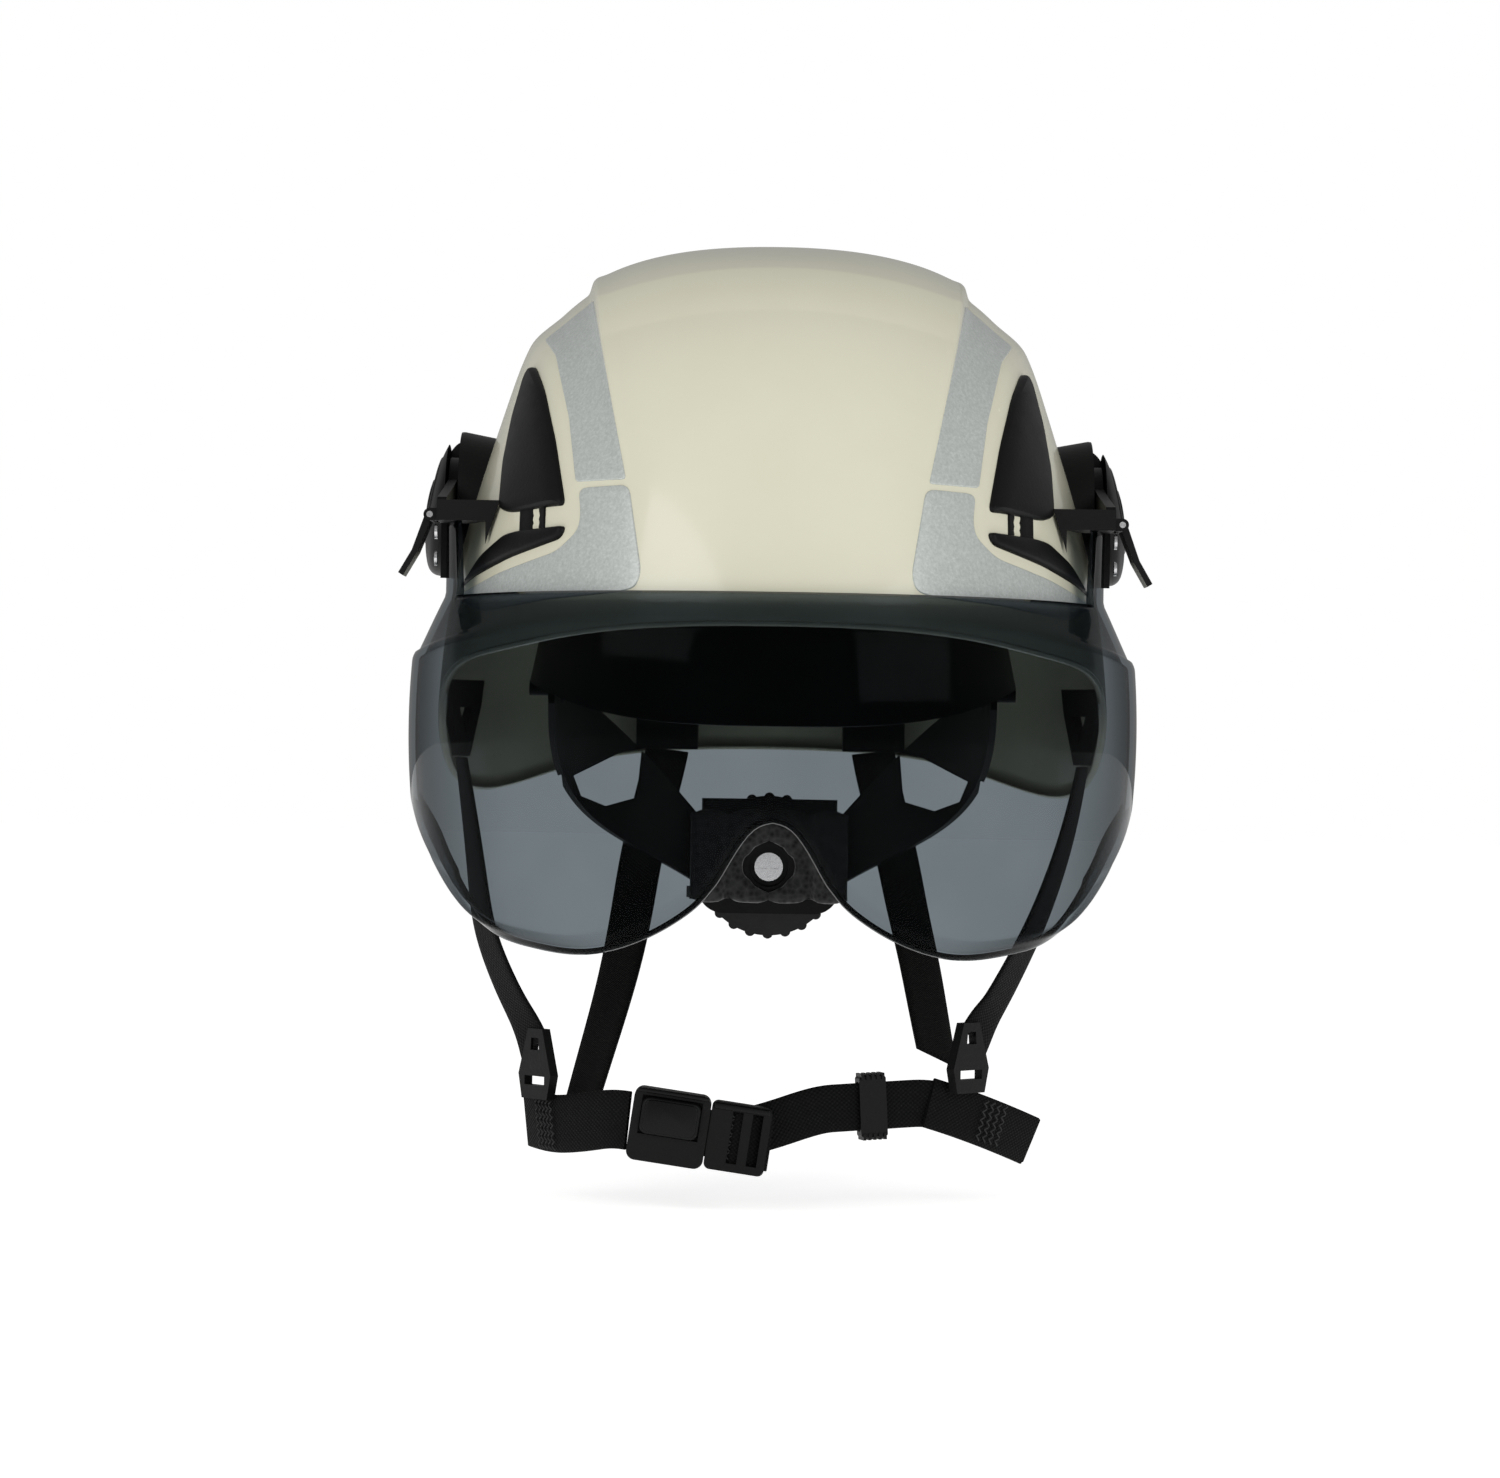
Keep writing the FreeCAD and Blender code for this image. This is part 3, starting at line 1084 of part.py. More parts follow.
def build_keeper():
    """A ribbed loop that slides along the straight stretch of the free webbing."""
    gap = 0.35
    height, depth = WEB_WIDTH + 2 * gap, WEB_THICKNESS + 2 * gap
    loop = rounded_block(KEEPER_WIDTH, depth + 3.0, height + 3.4, 0.8)
    for rib in range(5):
        x = -KEEPER_WIDTH / 2.0 + 1.0 + rib * (KEEPER_WIDTH - 2.0) / 4.0
        for z in (height / 2.0 + 1.7, -height / 2.0 - 1.7):
            half_depth = depth / 2.0 + 2.1
            loop = loop.fuse(block(x - 0.45, x + 0.45, -half_depth, half_depth, z - 1.0, z + 1.0))
    loop = loop.cut(block(-20, 20, -depth / 2.0, depth / 2.0, -height / 2.0, height / 2.0))
    turn = FreeCAD.Rotation(V(1, 0, 0), RUN)
    loop.Placement = FreeCAD.Placement(KEEPER_CENTRE, turn)
    return loop


DIVIDER = ((-4, 11), (4, 11), (9, -4), (7, -12), (-7, -12), (-9, -4))


def build_divider(centre, turn):
    """A flat leaf that joins the front and rear webbing above the chin strap."""
    leaf = prism_along_y(DIVIDER, -1.6, 1.6)
    leaf = leaf.cut(prism_along_y(((-5.5, -7.5), (5.5, -7.5), (5.5, -4.5), (-5.5, -4.5)), -5, 5))
    leaf = leaf.cut(prism_along_y(((-2.4, 4.0), (2.4, 4.0), (2.0, 8.0), (-2.0, 8.0)), -5, 5))
    leaf.Placement = FreeCAD.Placement(centre, FreeCAD.Rotation(V(0, 0, 1), turn))
    return leaf


save("chin_web_left", build_chin_web_left())
save("chin_web_right", build_chin_web_right())
save("strap_keeper", build_keeper())
save("divider_right", build_divider(V(-75.0, -26.2, -141.0), -52.0))
save("divider_left", build_divider(V(65.5, -32.0, -136.5), 48.0))
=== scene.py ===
"""The looks of a vented safety helmet with a swing-up visor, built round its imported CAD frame. Metres."""
import json
import bpy
import bmesh
import numpy as np
from math import pi, sin, cos, radians, degrees, hypot, atan2, sqrt
from mathutils import Vector, Matrix
from mathutils.bvhtree import BVHTree
from mathutils.geometry import delaunay_2d_cdt


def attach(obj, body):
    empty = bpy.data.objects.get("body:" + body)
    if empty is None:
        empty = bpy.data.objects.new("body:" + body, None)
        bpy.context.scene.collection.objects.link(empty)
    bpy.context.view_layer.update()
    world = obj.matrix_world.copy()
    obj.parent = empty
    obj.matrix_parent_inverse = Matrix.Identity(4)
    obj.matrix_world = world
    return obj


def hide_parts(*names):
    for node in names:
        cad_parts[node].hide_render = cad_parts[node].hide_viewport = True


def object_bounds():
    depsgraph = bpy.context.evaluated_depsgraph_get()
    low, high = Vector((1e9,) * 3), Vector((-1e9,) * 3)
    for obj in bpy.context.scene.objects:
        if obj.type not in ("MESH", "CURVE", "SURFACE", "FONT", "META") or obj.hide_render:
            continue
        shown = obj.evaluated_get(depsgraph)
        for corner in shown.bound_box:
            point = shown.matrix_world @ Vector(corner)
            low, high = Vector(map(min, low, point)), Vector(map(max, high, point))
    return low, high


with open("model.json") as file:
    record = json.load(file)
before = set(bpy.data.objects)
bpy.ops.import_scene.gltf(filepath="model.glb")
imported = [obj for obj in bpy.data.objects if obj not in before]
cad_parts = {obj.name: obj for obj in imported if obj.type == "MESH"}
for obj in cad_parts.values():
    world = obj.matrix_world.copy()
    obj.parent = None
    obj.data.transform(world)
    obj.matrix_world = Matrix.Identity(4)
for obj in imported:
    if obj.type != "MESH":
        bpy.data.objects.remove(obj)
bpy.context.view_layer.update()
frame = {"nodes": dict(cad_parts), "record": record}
MM = 0.001


# ------------------------------------------------------------------ material tools
def new_material(name):
    material = bpy.data.materials.new(name)
    material.use_nodes = True
    nodes = material.node_tree.nodes
    return material, nodes, material.node_tree.links, nodes["Principled BSDF"]


def add(nodes, kind, **settings):
    node = nodes.new(kind)
    for key, value in settings.items():
        if key in node.inputs:
            node.inputs[key].default_value = value
        else:
            setattr(node, key, value)
    return node


def place(nodes, links):
    """Object coordinates in metres: CAD nodes and new pieces share the row frame."""
    return add(nodes, "ShaderNodeTexCoord").outputs["Object"]


def ramp(nodes, links, source, stops):
    """A colour ramp over (position, colour) stops."""
    node = add(nodes, "ShaderNodeValToRGB")
    elements = node.color_ramp.elements
    while len(elements) < len(stops):
        elements.new(0.5)
    for element, (position, colour) in zip(elements, stops):
        element.position = position
        element.color = tuple(colour) + (1.0,)
    links.new(source, node.inputs["Fac"])
    return node.outputs["Color"]


def grey(value):
    return (value, value, value)


def noise(nodes, links, coords, scale, detail=4.0, roughness=0.6):
    node = add(nodes, "ShaderNodeTexNoise", Scale=scale, Detail=detail, Roughness=roughness)
    links.new(coords, node.inputs["Vector"])
    return node.outputs["Fac"]


def bump(nodes, links, shader, height, strength, distance):
    node = add(nodes, "ShaderNodeBump", Strength=strength, Distance=distance)
    links.new(height, node.inputs["Height"])
    links.new(node.outputs["Normal"], shader.inputs["Normal"])
    return node


def roughness_from(nodes, links, shader, source, low, high):
    node = add(nodes, "ShaderNodeMapRange")
    node.inputs["To Min"].default_value = low
    node.inputs["To Max"].default_value = high
    links.new(source, node.inputs["Value"])
    links.new(node.outputs["Result"], shader.inputs["Roughness"])


def shell_material():
    """Glossy cream moulded plastic: faint mottling, fine orange peel, a little dust in the gloss."""
    material, nodes, links, shader = new_material("shell_gloss")
    coords = place(nodes, links)
    mottling = noise(nodes, links, coords, 14.0)
    colour = ramp(nodes, links, mottling, ((0.3, (0.735, 0.715, 0.555)), (0.7, (0.765, 0.75, 0.59))))
    links.new(colour, shader.inputs["Base Color"])
    roughness_from(nodes, links, shader, noise(nodes, links, coords, 90.0), 0.2, 0.3)
    shader.inputs["Coat Weight"].default_value = 0.5
    shader.inputs["Coat Roughness"].default_value = 0.06
    shader.inputs["IOR"].default_value = 1.49
    bump(nodes, links, shader, noise(nodes, links, coords, 420.0, 2.0), 0.05, 0.0004)
    return material


def tape_material():
    """Grey retroreflective film with a fine sparkling grain."""
    material, nodes, links, shader = new_material("reflective_film")
    coords = place(nodes, links)
    grain = noise(nodes, links, coords, 900.0, 3.0, 0.8)
    colour = ramp(nodes, links, grain, ((0.3, (0.47, 0.50, 0.48)), (0.5, (0.545, 0.577, 0.553)),
                                        (0.72, (0.66, 0.69, 0.67))))
    links.new(colour, shader.inputs["Base Color"])
    shader.inputs["Metallic"].default_value = 0.25
    roughness_from(nodes, links, shader, noise(nodes, links, coords, 1400.0), 0.32, 0.5)
    shader.inputs["Coat Weight"].default_value = 0.25
    shader.inputs["Coat Roughness"].default_value = 0.15
    bump(nodes, links, shader, grain, 0.12, 0.0002)
    return material


def moulded_material(name, level, rough_low, rough_high, grain_scale=750.0, grain=0.22):
    """Moulded plastic with a spark-eroded grain and slightly rubbed patches."""
    material, nodes, links, shader = new_material(name)
    shader.inputs["Specular IOR Level"].default_value = 0.16
    coords = place(nodes, links)
    patches = noise(nodes, links, coords, 30.0)
    colour = ramp(nodes, links, patches, ((0.3, grey(level * 0.8)), (0.7, grey(level * 1.25))))
    links.new(colour, shader.inputs["Base Color"])
    roughness_from(nodes, links, shader, noise(nodes, links, coords, 60.0), rough_low, rough_high)
    bump(nodes, links, shader, noise(nodes, links, coords, grain_scale, 3.0), grain, 0.0003)
    return material


def web_material():
    """Woven polyester: fine ribs along and picks across, from the piece's own UV in metres; its colour has painted
    shade, darker in the weave's hollows and lighter on its crests, mixed with random fuzz.
    """
    material, nodes, links, shader = new_material("webbing")
    shader.inputs["Specular IOR Level"].default_value = 0.08
    uv = add(nodes, "ShaderNodeUVMap", uv_map="weave").outputs["UV"]
    split = add(nodes, "ShaderNodeSeparateXYZ")
    links.new(uv, split.inputs[0])

    def wave(source, pitch, phase=0.0):
        turn = add(nodes, "ShaderNodeMath", operation="MULTIPLY_ADD")
        turn.inputs[1].default_value = 2 * pi / pitch
        turn.inputs[2].default_value = phase
        links.new(source, turn.inputs[0])
        sine = add(nodes, "ShaderNodeMath", operation="SINE")
        links.new(turn.outputs[0], sine.inputs[0])
        return sine.outputs[0]

    along = wave(split.outputs["X"], 0.0016)
    across = wave(split.outputs["Y"], 0.0014)
    weave = add(nodes, "ShaderNodeMath", operation="MULTIPLY")
    links.new(along, weave.inputs[0])
    links.new(across, weave.inputs[1])
    height = add(nodes, "ShaderNodeMath", operation="MULTIPLY_ADD")
    height.inputs[1].default_value = 0.5
    height.inputs[2].default_value = 0.5
    links.new(weave.outputs[0], height.inputs[0])
    fuzz = noise(nodes, links, place(nodes, links), 1500.0, 2.0)
    mix = add(nodes, "ShaderNodeMath", operation="MULTIPLY")
    links.new(height.outputs[0], mix.inputs[0])
    links.new(fuzz, mix.inputs[1])
    # Painted shade: the weave's height, times random fuzz, darkens its hollows and lightens its crests.
    colour = ramp(nodes, links, mix.outputs[0], ((0.0, grey(0.0015)), (0.35, grey(0.005)), (0.75, grey(0.014))))
    links.new(colour, shader.inputs["Base Color"])
    shader.inputs["Roughness"].default_value = 0.72
    shader.inputs["Sheen Weight"].default_value = 0.03
    shader.inputs["Sheen Roughness"].default_value = 0.4
    bump(nodes, links, shader, height.outputs[0], 0.6, 0.0004)
    return material


def pad_material():
    """Knitted mesh over foam: small open cells, each darkened towards its sunken middle as painted shade."""
    material, nodes, links, shader = new_material("pad_mesh")
    shader.inputs["Specular IOR Level"].default_value = 0.1
    coords = place(nodes, links)
    cells = add(nodes, "ShaderNodeTexVoronoi", Scale=520.0)
    links.new(coords, cells.inputs["Vector"])
    # Painted shade: each cell darkest at its middle, where the bump sinks.
    colour = ramp(nodes, links, cells.outputs["Distance"], ((0.1, grey(0.006)), (0.5, grey(0.026)), (0.9, grey(0.045))))
    links.new(colour, shader.inputs["Base Color"])
    shader.inputs["Roughness"].default_value = 0.9
    shader.inputs["Sheen Weight"].default_value = 0.35
    bump(nodes, links, shader, cells.outputs["Distance"], 0.5, 0.0006)
    return material


def foam_material():
    """Black expanded foam: pressed beads, with painted shade darkening the gaps between them."""
    material, nodes, links, shader = new_material("bead_foam")
    shader.inputs["Specular IOR Level"].default_value = 0.15
    coords = place(nodes, links)
    beads = add(nodes, "ShaderNodeTexVoronoi", Scale=280.0, feature="SMOOTH_F1")
    links.new(coords, beads.inputs["Vector"])
    # Painted shade: bead tops lighter, the sunken gaps between beads darker.
    colour = ramp(nodes, links, beads.outputs["Distance"], ((0.1, grey(0.034)), (0.6, grey(0.014))))
    links.new(colour, shader.inputs["Base Color"])
    shader.inputs["Roughness"].default_value = 0.85
    bump(nodes, links, shader, beads.outputs["Distance"], -0.4, 0.0008)
    return material


def lens_material():
    """Grey-tinted clear polycarbonate: sharp reflections, tinted once where light passes the wall."""
    material = bpy.data.materials.new("visor_tint")
    material.use_nodes = True
    nodes, links = material.node_tree.nodes, material.node_tree.links
    nodes.clear()
    coords = place(nodes, links)
    smudge = noise(nodes, links, coords, 35.0)
    tint = ramp(nodes, links, smudge, ((0.35, (0.40, 0.435, 0.455)), (0.65, (0.415, 0.45, 0.47))))
    clear = add(nodes, "ShaderNodeBsdfTransparent")
    slant = add(nodes, "ShaderNodeLayerWeight", Blend=0.5)
    longer = add(nodes, "ShaderNodeMath")
    longer.operation = "POWER"
    longer.inputs[1].default_value = 3.5
    links.new(slant.outputs["Facing"], longer.inputs[0])
    depth = add(nodes, "ShaderNodeMix")
    depth.data_type = "RGBA"
    links.new(longer.outputs[0], depth.inputs["Factor"])
    links.new(tint, depth.inputs[6])
    depth.inputs[7].default_value = (0.03, 0.034, 0.037, 1.0)
    links.new(depth.outputs[2], clear.inputs["Color"])
    gloss = add(nodes, "ShaderNodeBsdfPrincipled", Roughness=0.03)
    gloss.inputs["Base Color"].default_value = (0.01, 0.011, 0.012, 1.0)
    facing = add(nodes, "ShaderNodeLayerWeight", Blend=0.5)
    last = facing.outputs["Facing"]
    for operation, value in (("POWER", 5.0), ("MULTIPLY", 0.7), ("ADD", 0.035)):
        step = add(nodes, "ShaderNodeMath")
        step.operation = operation
        step.inputs[1].default_value = value
        links.new(last, step.inputs[0])
        last = step.outputs[0]
    mix = add(nodes, "ShaderNodeMixShader")
    links.new(last, mix.inputs["Fac"])
    links.new(clear.outputs[0], mix.inputs[1])
    links.new(gloss.outputs[0], mix.inputs[2])
    output = add(nodes, "ShaderNodeOutputMaterial")
    links.new(mix.outputs[0], output.inputs["Surface"])
    return material


def steel_material():
    """Plated steel with fine turning marks."""
    material, nodes, links, shader = new_material("plated_steel")
    coords = place(nodes, links)
    marks = noise(nodes, links, coords, 1200.0, 2.0)
    colour = ramp(nodes, links, marks, ((0.3, (0.50, 0.50, 0.51)), (0.7, (0.66, 0.66, 0.67))))
    links.new(colour, shader.inputs["Base Color"])
    shader.inputs["Metallic"].default_value = 1.0
    roughness_from(nodes, links, shader, marks, 0.18, 0.34)
    return material


SHELL = shell_material()
TAPE = tape_material()
BLACK = moulded_material("black_moulded", 0.0028, 0.36, 0.52)
SATIN = moulded_material("black_satin", 0.0025, 0.2, 0.34, 500.0, 0.08)
DIAL = moulded_material("dial_grey", 0.022, 0.4, 0.55)
RUBBER = moulded_material("washer_rubber", 0.012, 0.7, 0.85)
WEB = web_material()
PAD = pad_material()
FOAM = foam_material()
THREAD = moulded_material("thread", 0.03, 0.6, 0.75, 2400.0, 0.5)
TINT = lens_material()
STEEL = steel_material()
SLOT_MATERIALS = {"shell_plastic": SHELL, "reflective_tape": TAPE, "black_plastic": BLACK, "liner_foam": FOAM,
                  "visor_tint": TINT, "steel": STEEL, "washer_rubber": RUBBER, "webbing": WEB,
                  "pad_fabric": PAD, "dial_plastic": DIAL}

NODE_SLOTS = {entry["node"]: entry["material_slot"] for entry in frame["record"]["subparts"]}
for node_name, node in frame["nodes"].items():
    node.data.materials.clear()
    node.data.materials.append(SLOT_MATERIALS[NODE_SLOTS[node_name]])


# ------------------------------------------------------------------ piece tools
def piece(name, points, faces, material, body, replaced=(), smooth=True):
    """A new mesh piece in the row frame that rides on a body."""
    mesh = bpy.data.meshes.new(name)
    mesh.from_pydata([tuple(p) for p in points], [], [tuple(f) for f in faces])
    mesh.validate()
    mesh.materials.append(material)
    obj = bpy.data.objects.new(name, mesh)
    bpy.context.scene.collection.objects.link(obj)
    if smooth:
        mesh.shade_smooth()
    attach(obj, body)
    if replaced:
        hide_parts(*replaced)
    return obj


def outward(obj):
    work = bmesh.new()
    work.from_mesh(obj.data)
    bmesh.ops.recalc_face_normals(work, faces=work.faces)
    work.to_mesh(obj.data)
    work.free()
    return obj


def bevel(obj, width, segments=2, angle=30.0):
    modifier = obj.modifiers.new("edges", "BEVEL")
    modifier.width = width
    modifier.segments = segments
    modifier.limit_method = "ANGLE"
    modifier.angle_limit = radians(angle)
    modifier.harden_normals = True
    return obj


def sharpen(obj, angle=35.0):
    """Smooth shading with crisp edges."""
    obj.data.shade_smooth()
    obj.data.set_sharp_from_angle(angle=radians(angle))
    return obj


def interpolate(pairs, value):
    """Straight-line interpolation through (key, value) pairs, flat beyond the ends."""
    keys = [k for k, _ in pairs]
    values = [v for _, v in pairs]
    return float(np.interp(value, keys, values))


# ------------------------------------------------------------------ the shell's surface
# The same control profiles as the frame's shell, as shares of its reach and height.
SIDE = ((0.054, 1.0), (0.18, 0.997), (0.357, 0.977), (0.518, 0.926), (0.643, 0.845), (0.737, 0.756),
        (0.795, 0.605), (0.848, 0.461), (0.915, 0.279), (0.964, 0.078), (0.991, -0.116), (1.0, -0.31),
        (1.0, -0.62))
FRONT = ((0.04, 1.0), (0.16, 0.994), (0.32, 0.961), (0.48, 0.903), (0.613, 0.798), (0.707, 0.651),
         (0.78, 0.481), (0.84, 0.302), (0.893, 0.132), (0.94, -0.023), (0.973, -0.171), (1.0, -0.349),
         (1.0, -0.62))
REAR = ((0.042, 1.0), (0.167, 0.995), (0.347, 0.969), (0.528, 0.907), (0.6875, 0.802), (0.8125, 0.659),
        (0.899, 0.488), (0.951, 0.31), (0.986, 0.116), (1.0, -0.07), (0.997, -0.233), (0.972, -0.403),
        (0.951, -0.62))
RIM = ((-0.175, 0.002), (-0.14, 0.001), (-0.1, -0.006), (-0.07, -0.01), (-0.03, -0.02), (0.005, -0.036),
       (0.04, -0.05), (0.07, -0.053), (0.1, -0.048), (0.125, -0.041), (0.15, -0.037), (0.175, -0.036))
HALF_WIDTH, FRONT_REACH, REAR_REACH, CROWN = 0.112, 0.150, 0.144, 0.129
PLAN_POWER = 2.15
WALL = 0.0026
RIBS = 40


def power_curve(value, power):
    return np.sign(value) * np.abs(value) ** (2.0 / power)


def dome_net():
    angles = 2 * pi * np.arange(RIBS) / RIBS
    side, ahead = np.sin(angles), np.cos(angles)
    net = np.zeros((RIBS, len(SIDE), 3))
    for j in range(len(SIDE)):
        reach = np.where(ahead > 0, FRONT_REACH * FRONT[j][0], REAR_REACH * REAR[j][0])
        height = np.where(ahead > 0, FRONT[j][1], REAR[j][1])
        net[:, j, 0] = HALF_WIDTH * SIDE[j][0] * power_curve(side, PLAN_POWER)
        net[:, j, 1] = -reach * power_curve(ahead, PLAN_POWER)
        net[:, j, 2] = CROWN * (SIDE[j][1] * side ** 2 + height * ahead ** 2)
    return net


def clamped_basis(count, values):
    """Cubic basis weights of a clamped, evenly knotted spline for values from 0 to count - 3."""
    knots = np.concatenate([[0.0] * 3, np.arange(count - 2, dtype=float), [count - 3.0] * 3])
    values = np.clip(values, 0.0, count - 3.0 - 1e-9)
    weights = ((values[:, None] >= knots[None, :-1]) & (values[:, None] < knots[None, 1:])).astype(float)
    for degree in range(1, 4):
        lower = np.zeros((len(values), weights.shape[1] - 1))
        for i in range(weights.shape[1] - 1):
            left = knots[i + degree] - knots[i]
            right = knots[i + degree + 1] - knots[i + 1]
            if left > 0:
                lower[:, i] += (values - knots[i]) / left * weights[:, i]
            if right > 0:
                lower[:, i] += (knots[i + degree + 1] - values) / right * weights[:, i + 1]
        weights = lower
    return weights


def closed_basis(count, values):
    """Cubic basis weights of a closed, evenly knotted spline; value k lies at control rib k."""
    offset = np.abs((values[:, None] - np.arange(count)[None, :] + count / 2.0) % count - count / 2.0)
    near = 2.0 / 3.0 - offset ** 2 + offset ** 3 / 2.0
    far = (2.0 - offset) ** 3 / 6.0
    return np.where(offset < 1, near, np.where(offset < 2, far, 0.0))


NET = dome_net()
HEIGHTS = 400


def column(rib):
    """Points down the dome at one plan position, from the crown to below the rim."""
    across = closed_basis(RIBS, np.array([rib]))
    down = clamped_basis(len(SIDE), np.linspace(0, len(SIDE) - 3.0, HEIGHTS))
    return np.einsum("i,ijk,lj->lk", across[0], NET, down)


def smooth_step(low, high, value):
    t = np.clip((value - low) / (high - low), 0.0, 1.0)
    return t * t * (3 - 2 * t)


def crease_x(z):
    """Half width of the raised crown band at a height."""
    return np.interp(z, (0.0, 0.012, 0.048, 0.118), (0.041, 0.0425, 0.0475, 0.0610))


def ridge_x(z):
    """Where the channel beside the crown band ends."""
    return np.interp(z, (0.0, 0.045, 0.066, 0.085, 0.096, 0.118), (0.064, 0.066, 0.0695, 0.076, 0.083, 0.098))


CHANNEL_DEPTH = 0.0025
CREST_RISE = 0.0018


def relief(points):
    """How far the real surface stands off the plain dome: a channel each side and a crest across the front."""
    x, y, z = np.abs(points[..., 0]), points[..., 1], points[..., 2]
    share = (x - crease_x(z)) / (ridge_x(z) - crease_x(z))
    hollow = smooth_step(0.0, 0.13, share) * (1.0 - smooth_step(0.42, 1.0, share))
    depth = CHANNEL_DEPTH * smooth_step(0.03, 0.1, z)
    lip = 0.0005 * np.exp(-((share + 0.03) / 0.06) ** 2) * smooth_step(0.03, 0.1, z)
    crest_z = 0.1145 - 0.0085 * (x / 0.057) ** 2
    tent = np.clip(1.0 - np.abs(z - crest_z) / 0.0135, 0.0, 1.0) * CREST_RISE
    tent = tent * (y < 0) * (1.0 - smooth_step(-0.06, 0.04, share))
    return tent + lip - depth * hollow


def natural_spline(keys, values, query):
    """A smooth curve through the points, as the frame's rim is."""
    keys, values = np.array(keys), np.array(values)
    n = len(keys)
    h = np.diff(keys)
    system = np.zeros((n, n))
    right = np.zeros(n)
    system[0, 0] = system[-1, -1] = 1.0
    for i in range(1, n - 1):
        system[i, i - 1:i + 2] = h[i - 1], 2 * (h[i - 1] + h[i]), h[i]
        right[i] = 3 * ((values[i + 1] - values[i]) / h[i] - (values[i] - values[i - 1]) / h[i - 1])
    c = np.linalg.solve(system, right)
    k = np.clip(np.searchsorted(keys, query) - 1, 0, n - 2)
    t = query - keys[k]
    b = (values[k + 1] - values[k]) / h[k] - h[k] * (2 * c[k] + c[k + 1]) / 3
    d = (c[k + 1] - c[k]) / (3 * h[k])
    return values[k] + b * t + c[k] * t ** 2 + d * t ** 3


def rim_z(y):
    keys, values = zip(*RIM)
    return natural_spline(keys, values, y)


COLUMNS = 540
ROWS = 230


def grid_normals(grid):
    """Outward unit normals of a grid closed along its first side."""
    around = np.roll(grid, -1, axis=0) - np.roll(grid, 1, axis=0)
    down = np.gradient(grid, axis=1)
    normals = np.cross(around, down)
    normals /= np.linalg.norm(normals, axis=2, keepdims=True) + 1e-12
    middle = grid - np.array([0, 0, 0.0])
    flip = np.sign(np.sum(normals * (middle - np.array([0, 0, -0.05])), axis=2))
    return normals * flip[..., None]


def shell_grid():
    """Rows from the crown to the rim, with the relief pressed in; returns points and normals."""
    grid = np.zeros((COLUMNS, ROWS, 3))
    for c in range(COLUMNS):
        line = column(c * RIBS / COLUMNS)
        below = line[:, 2] - rim_z(line[:, 1])
        end = int(np.argmax(below < 0))
        share = below[end - 1] / (below[end - 1] - below[end])
        last = line[end - 1] * (1 - share) + line[end] * share
        line = np.vstack([line[:end], last])
        length = np.concatenate([[0], np.cumsum(np.linalg.norm(np.diff(line, axis=0), axis=1))])
        even = np.linspace(0, length[-1], ROWS)
        for k in range(3):
            grid[c, :, k] = np.interp(even, length, line[:, k])
    normals = grid_normals(grid)
    height = relief(grid)
    inner = grid - normals * (WALL - 0.0001)
    grid += normals * height[..., None]
    return grid, grid_normals(grid), inner


GRID, NORMALS, INNER = shell_grid()


def strip_faces(columns, rows, start=0, closed=True, flip=False):
    faces = []
    for c in range(columns if closed else columns - 1):
        d = (c + 1) % columns
        for r in range(rows - 1):
            a, b = start + c * rows + r, start + d * rows + r
            faces.append((a, a + 1, b + 1, b) if not flip else (a, b, b + 1, a + 1))
    return faces


def build_shell():
    """Outside, a rounded rim and inside, in one closed skin."""
    turn_steps = 5
    rim, rim_normals = GRID[:, -1], NORMALS[:, -1]
    down = GRID[:, -1] - GRID[:, -2]
    down /= np.linalg.norm(down, axis=1, keepdims=True)
    rows = [GRID[:, r] for r in range(ROWS - 1)]
    radius = WALL / 2
    centre = rim - rim_normals * radius - down * radius
    for step in range(turn_steps + 1):
        angle = pi * step / turn_steps
        rows.append(centre + rim_normals * radius * cos(angle) + down * radius * sin(angle))
    for r in range(ROWS - 2, -1, -4):
        rows.append(INNER[:, r])
    net = np.stack(rows, axis=1)
    count = net.shape[1]
    points = list(net.reshape(-1, 3))
    faces = strip_faces(COLUMNS, count)
    for row, height in ((0, 0.00012), (count - 1, 0.0)):
        points.append(net[:, row].mean(axis=0) + np.array([0, 0, height]))
        hub = len(points) - 1
        for c in range(COLUMNS):
            a, b = c * count + row, ((c + 1) % COLUMNS) * count + row
            faces.append((hub, a, b) if row == 0 else (hub, b, a))
    return outward(piece("helmet_shell", points, faces, SHELL, "root", ("shell",)))


build_shell()


# ------------------------------------------------------------------ patches that lie on the shell
SKIN = BVHTree.FromPolygons([tuple(p) for p in GRID.reshape(-1, 3)], strip_faces(COLUMNS, ROWS))
# Outlines seen from the front on the wearer's left, in mm: (x, z).
TAPE_UPPER = ((60, 107), (47, 46), (63, 45.5), (66, 66.5), (71.5, 88), (76, 94.5))
TAPE_LOWER = ((62, 43.5), (46, 44.3), (41.5, 17), (43, 12), (48, 10.5), (70, 8.5), (93, 5), (104, 10),
              (87, 17.5), (68.5, 23.5), (62, 29.7), (61, 34.5))
SAIL = ((78.5, 86), (74.5, 76.5), (70, 59), (66, 38), (69.5, 38), (84, 36.5), (88, 38), (88.5, 40),
        (88, 54), (85.5, 69), (81.5, 83))
STEM = ((72.5, 39), (81, 39), (81, 28), (72.5, 28))
BAR = ((86, 29.5), (81, 30.6), (72, 31.2), (65.5, 31.7), (67, 27.6), (84, 22), (96, 16.7), (103, 12.4),
       (98, 17.5), (93, 24))


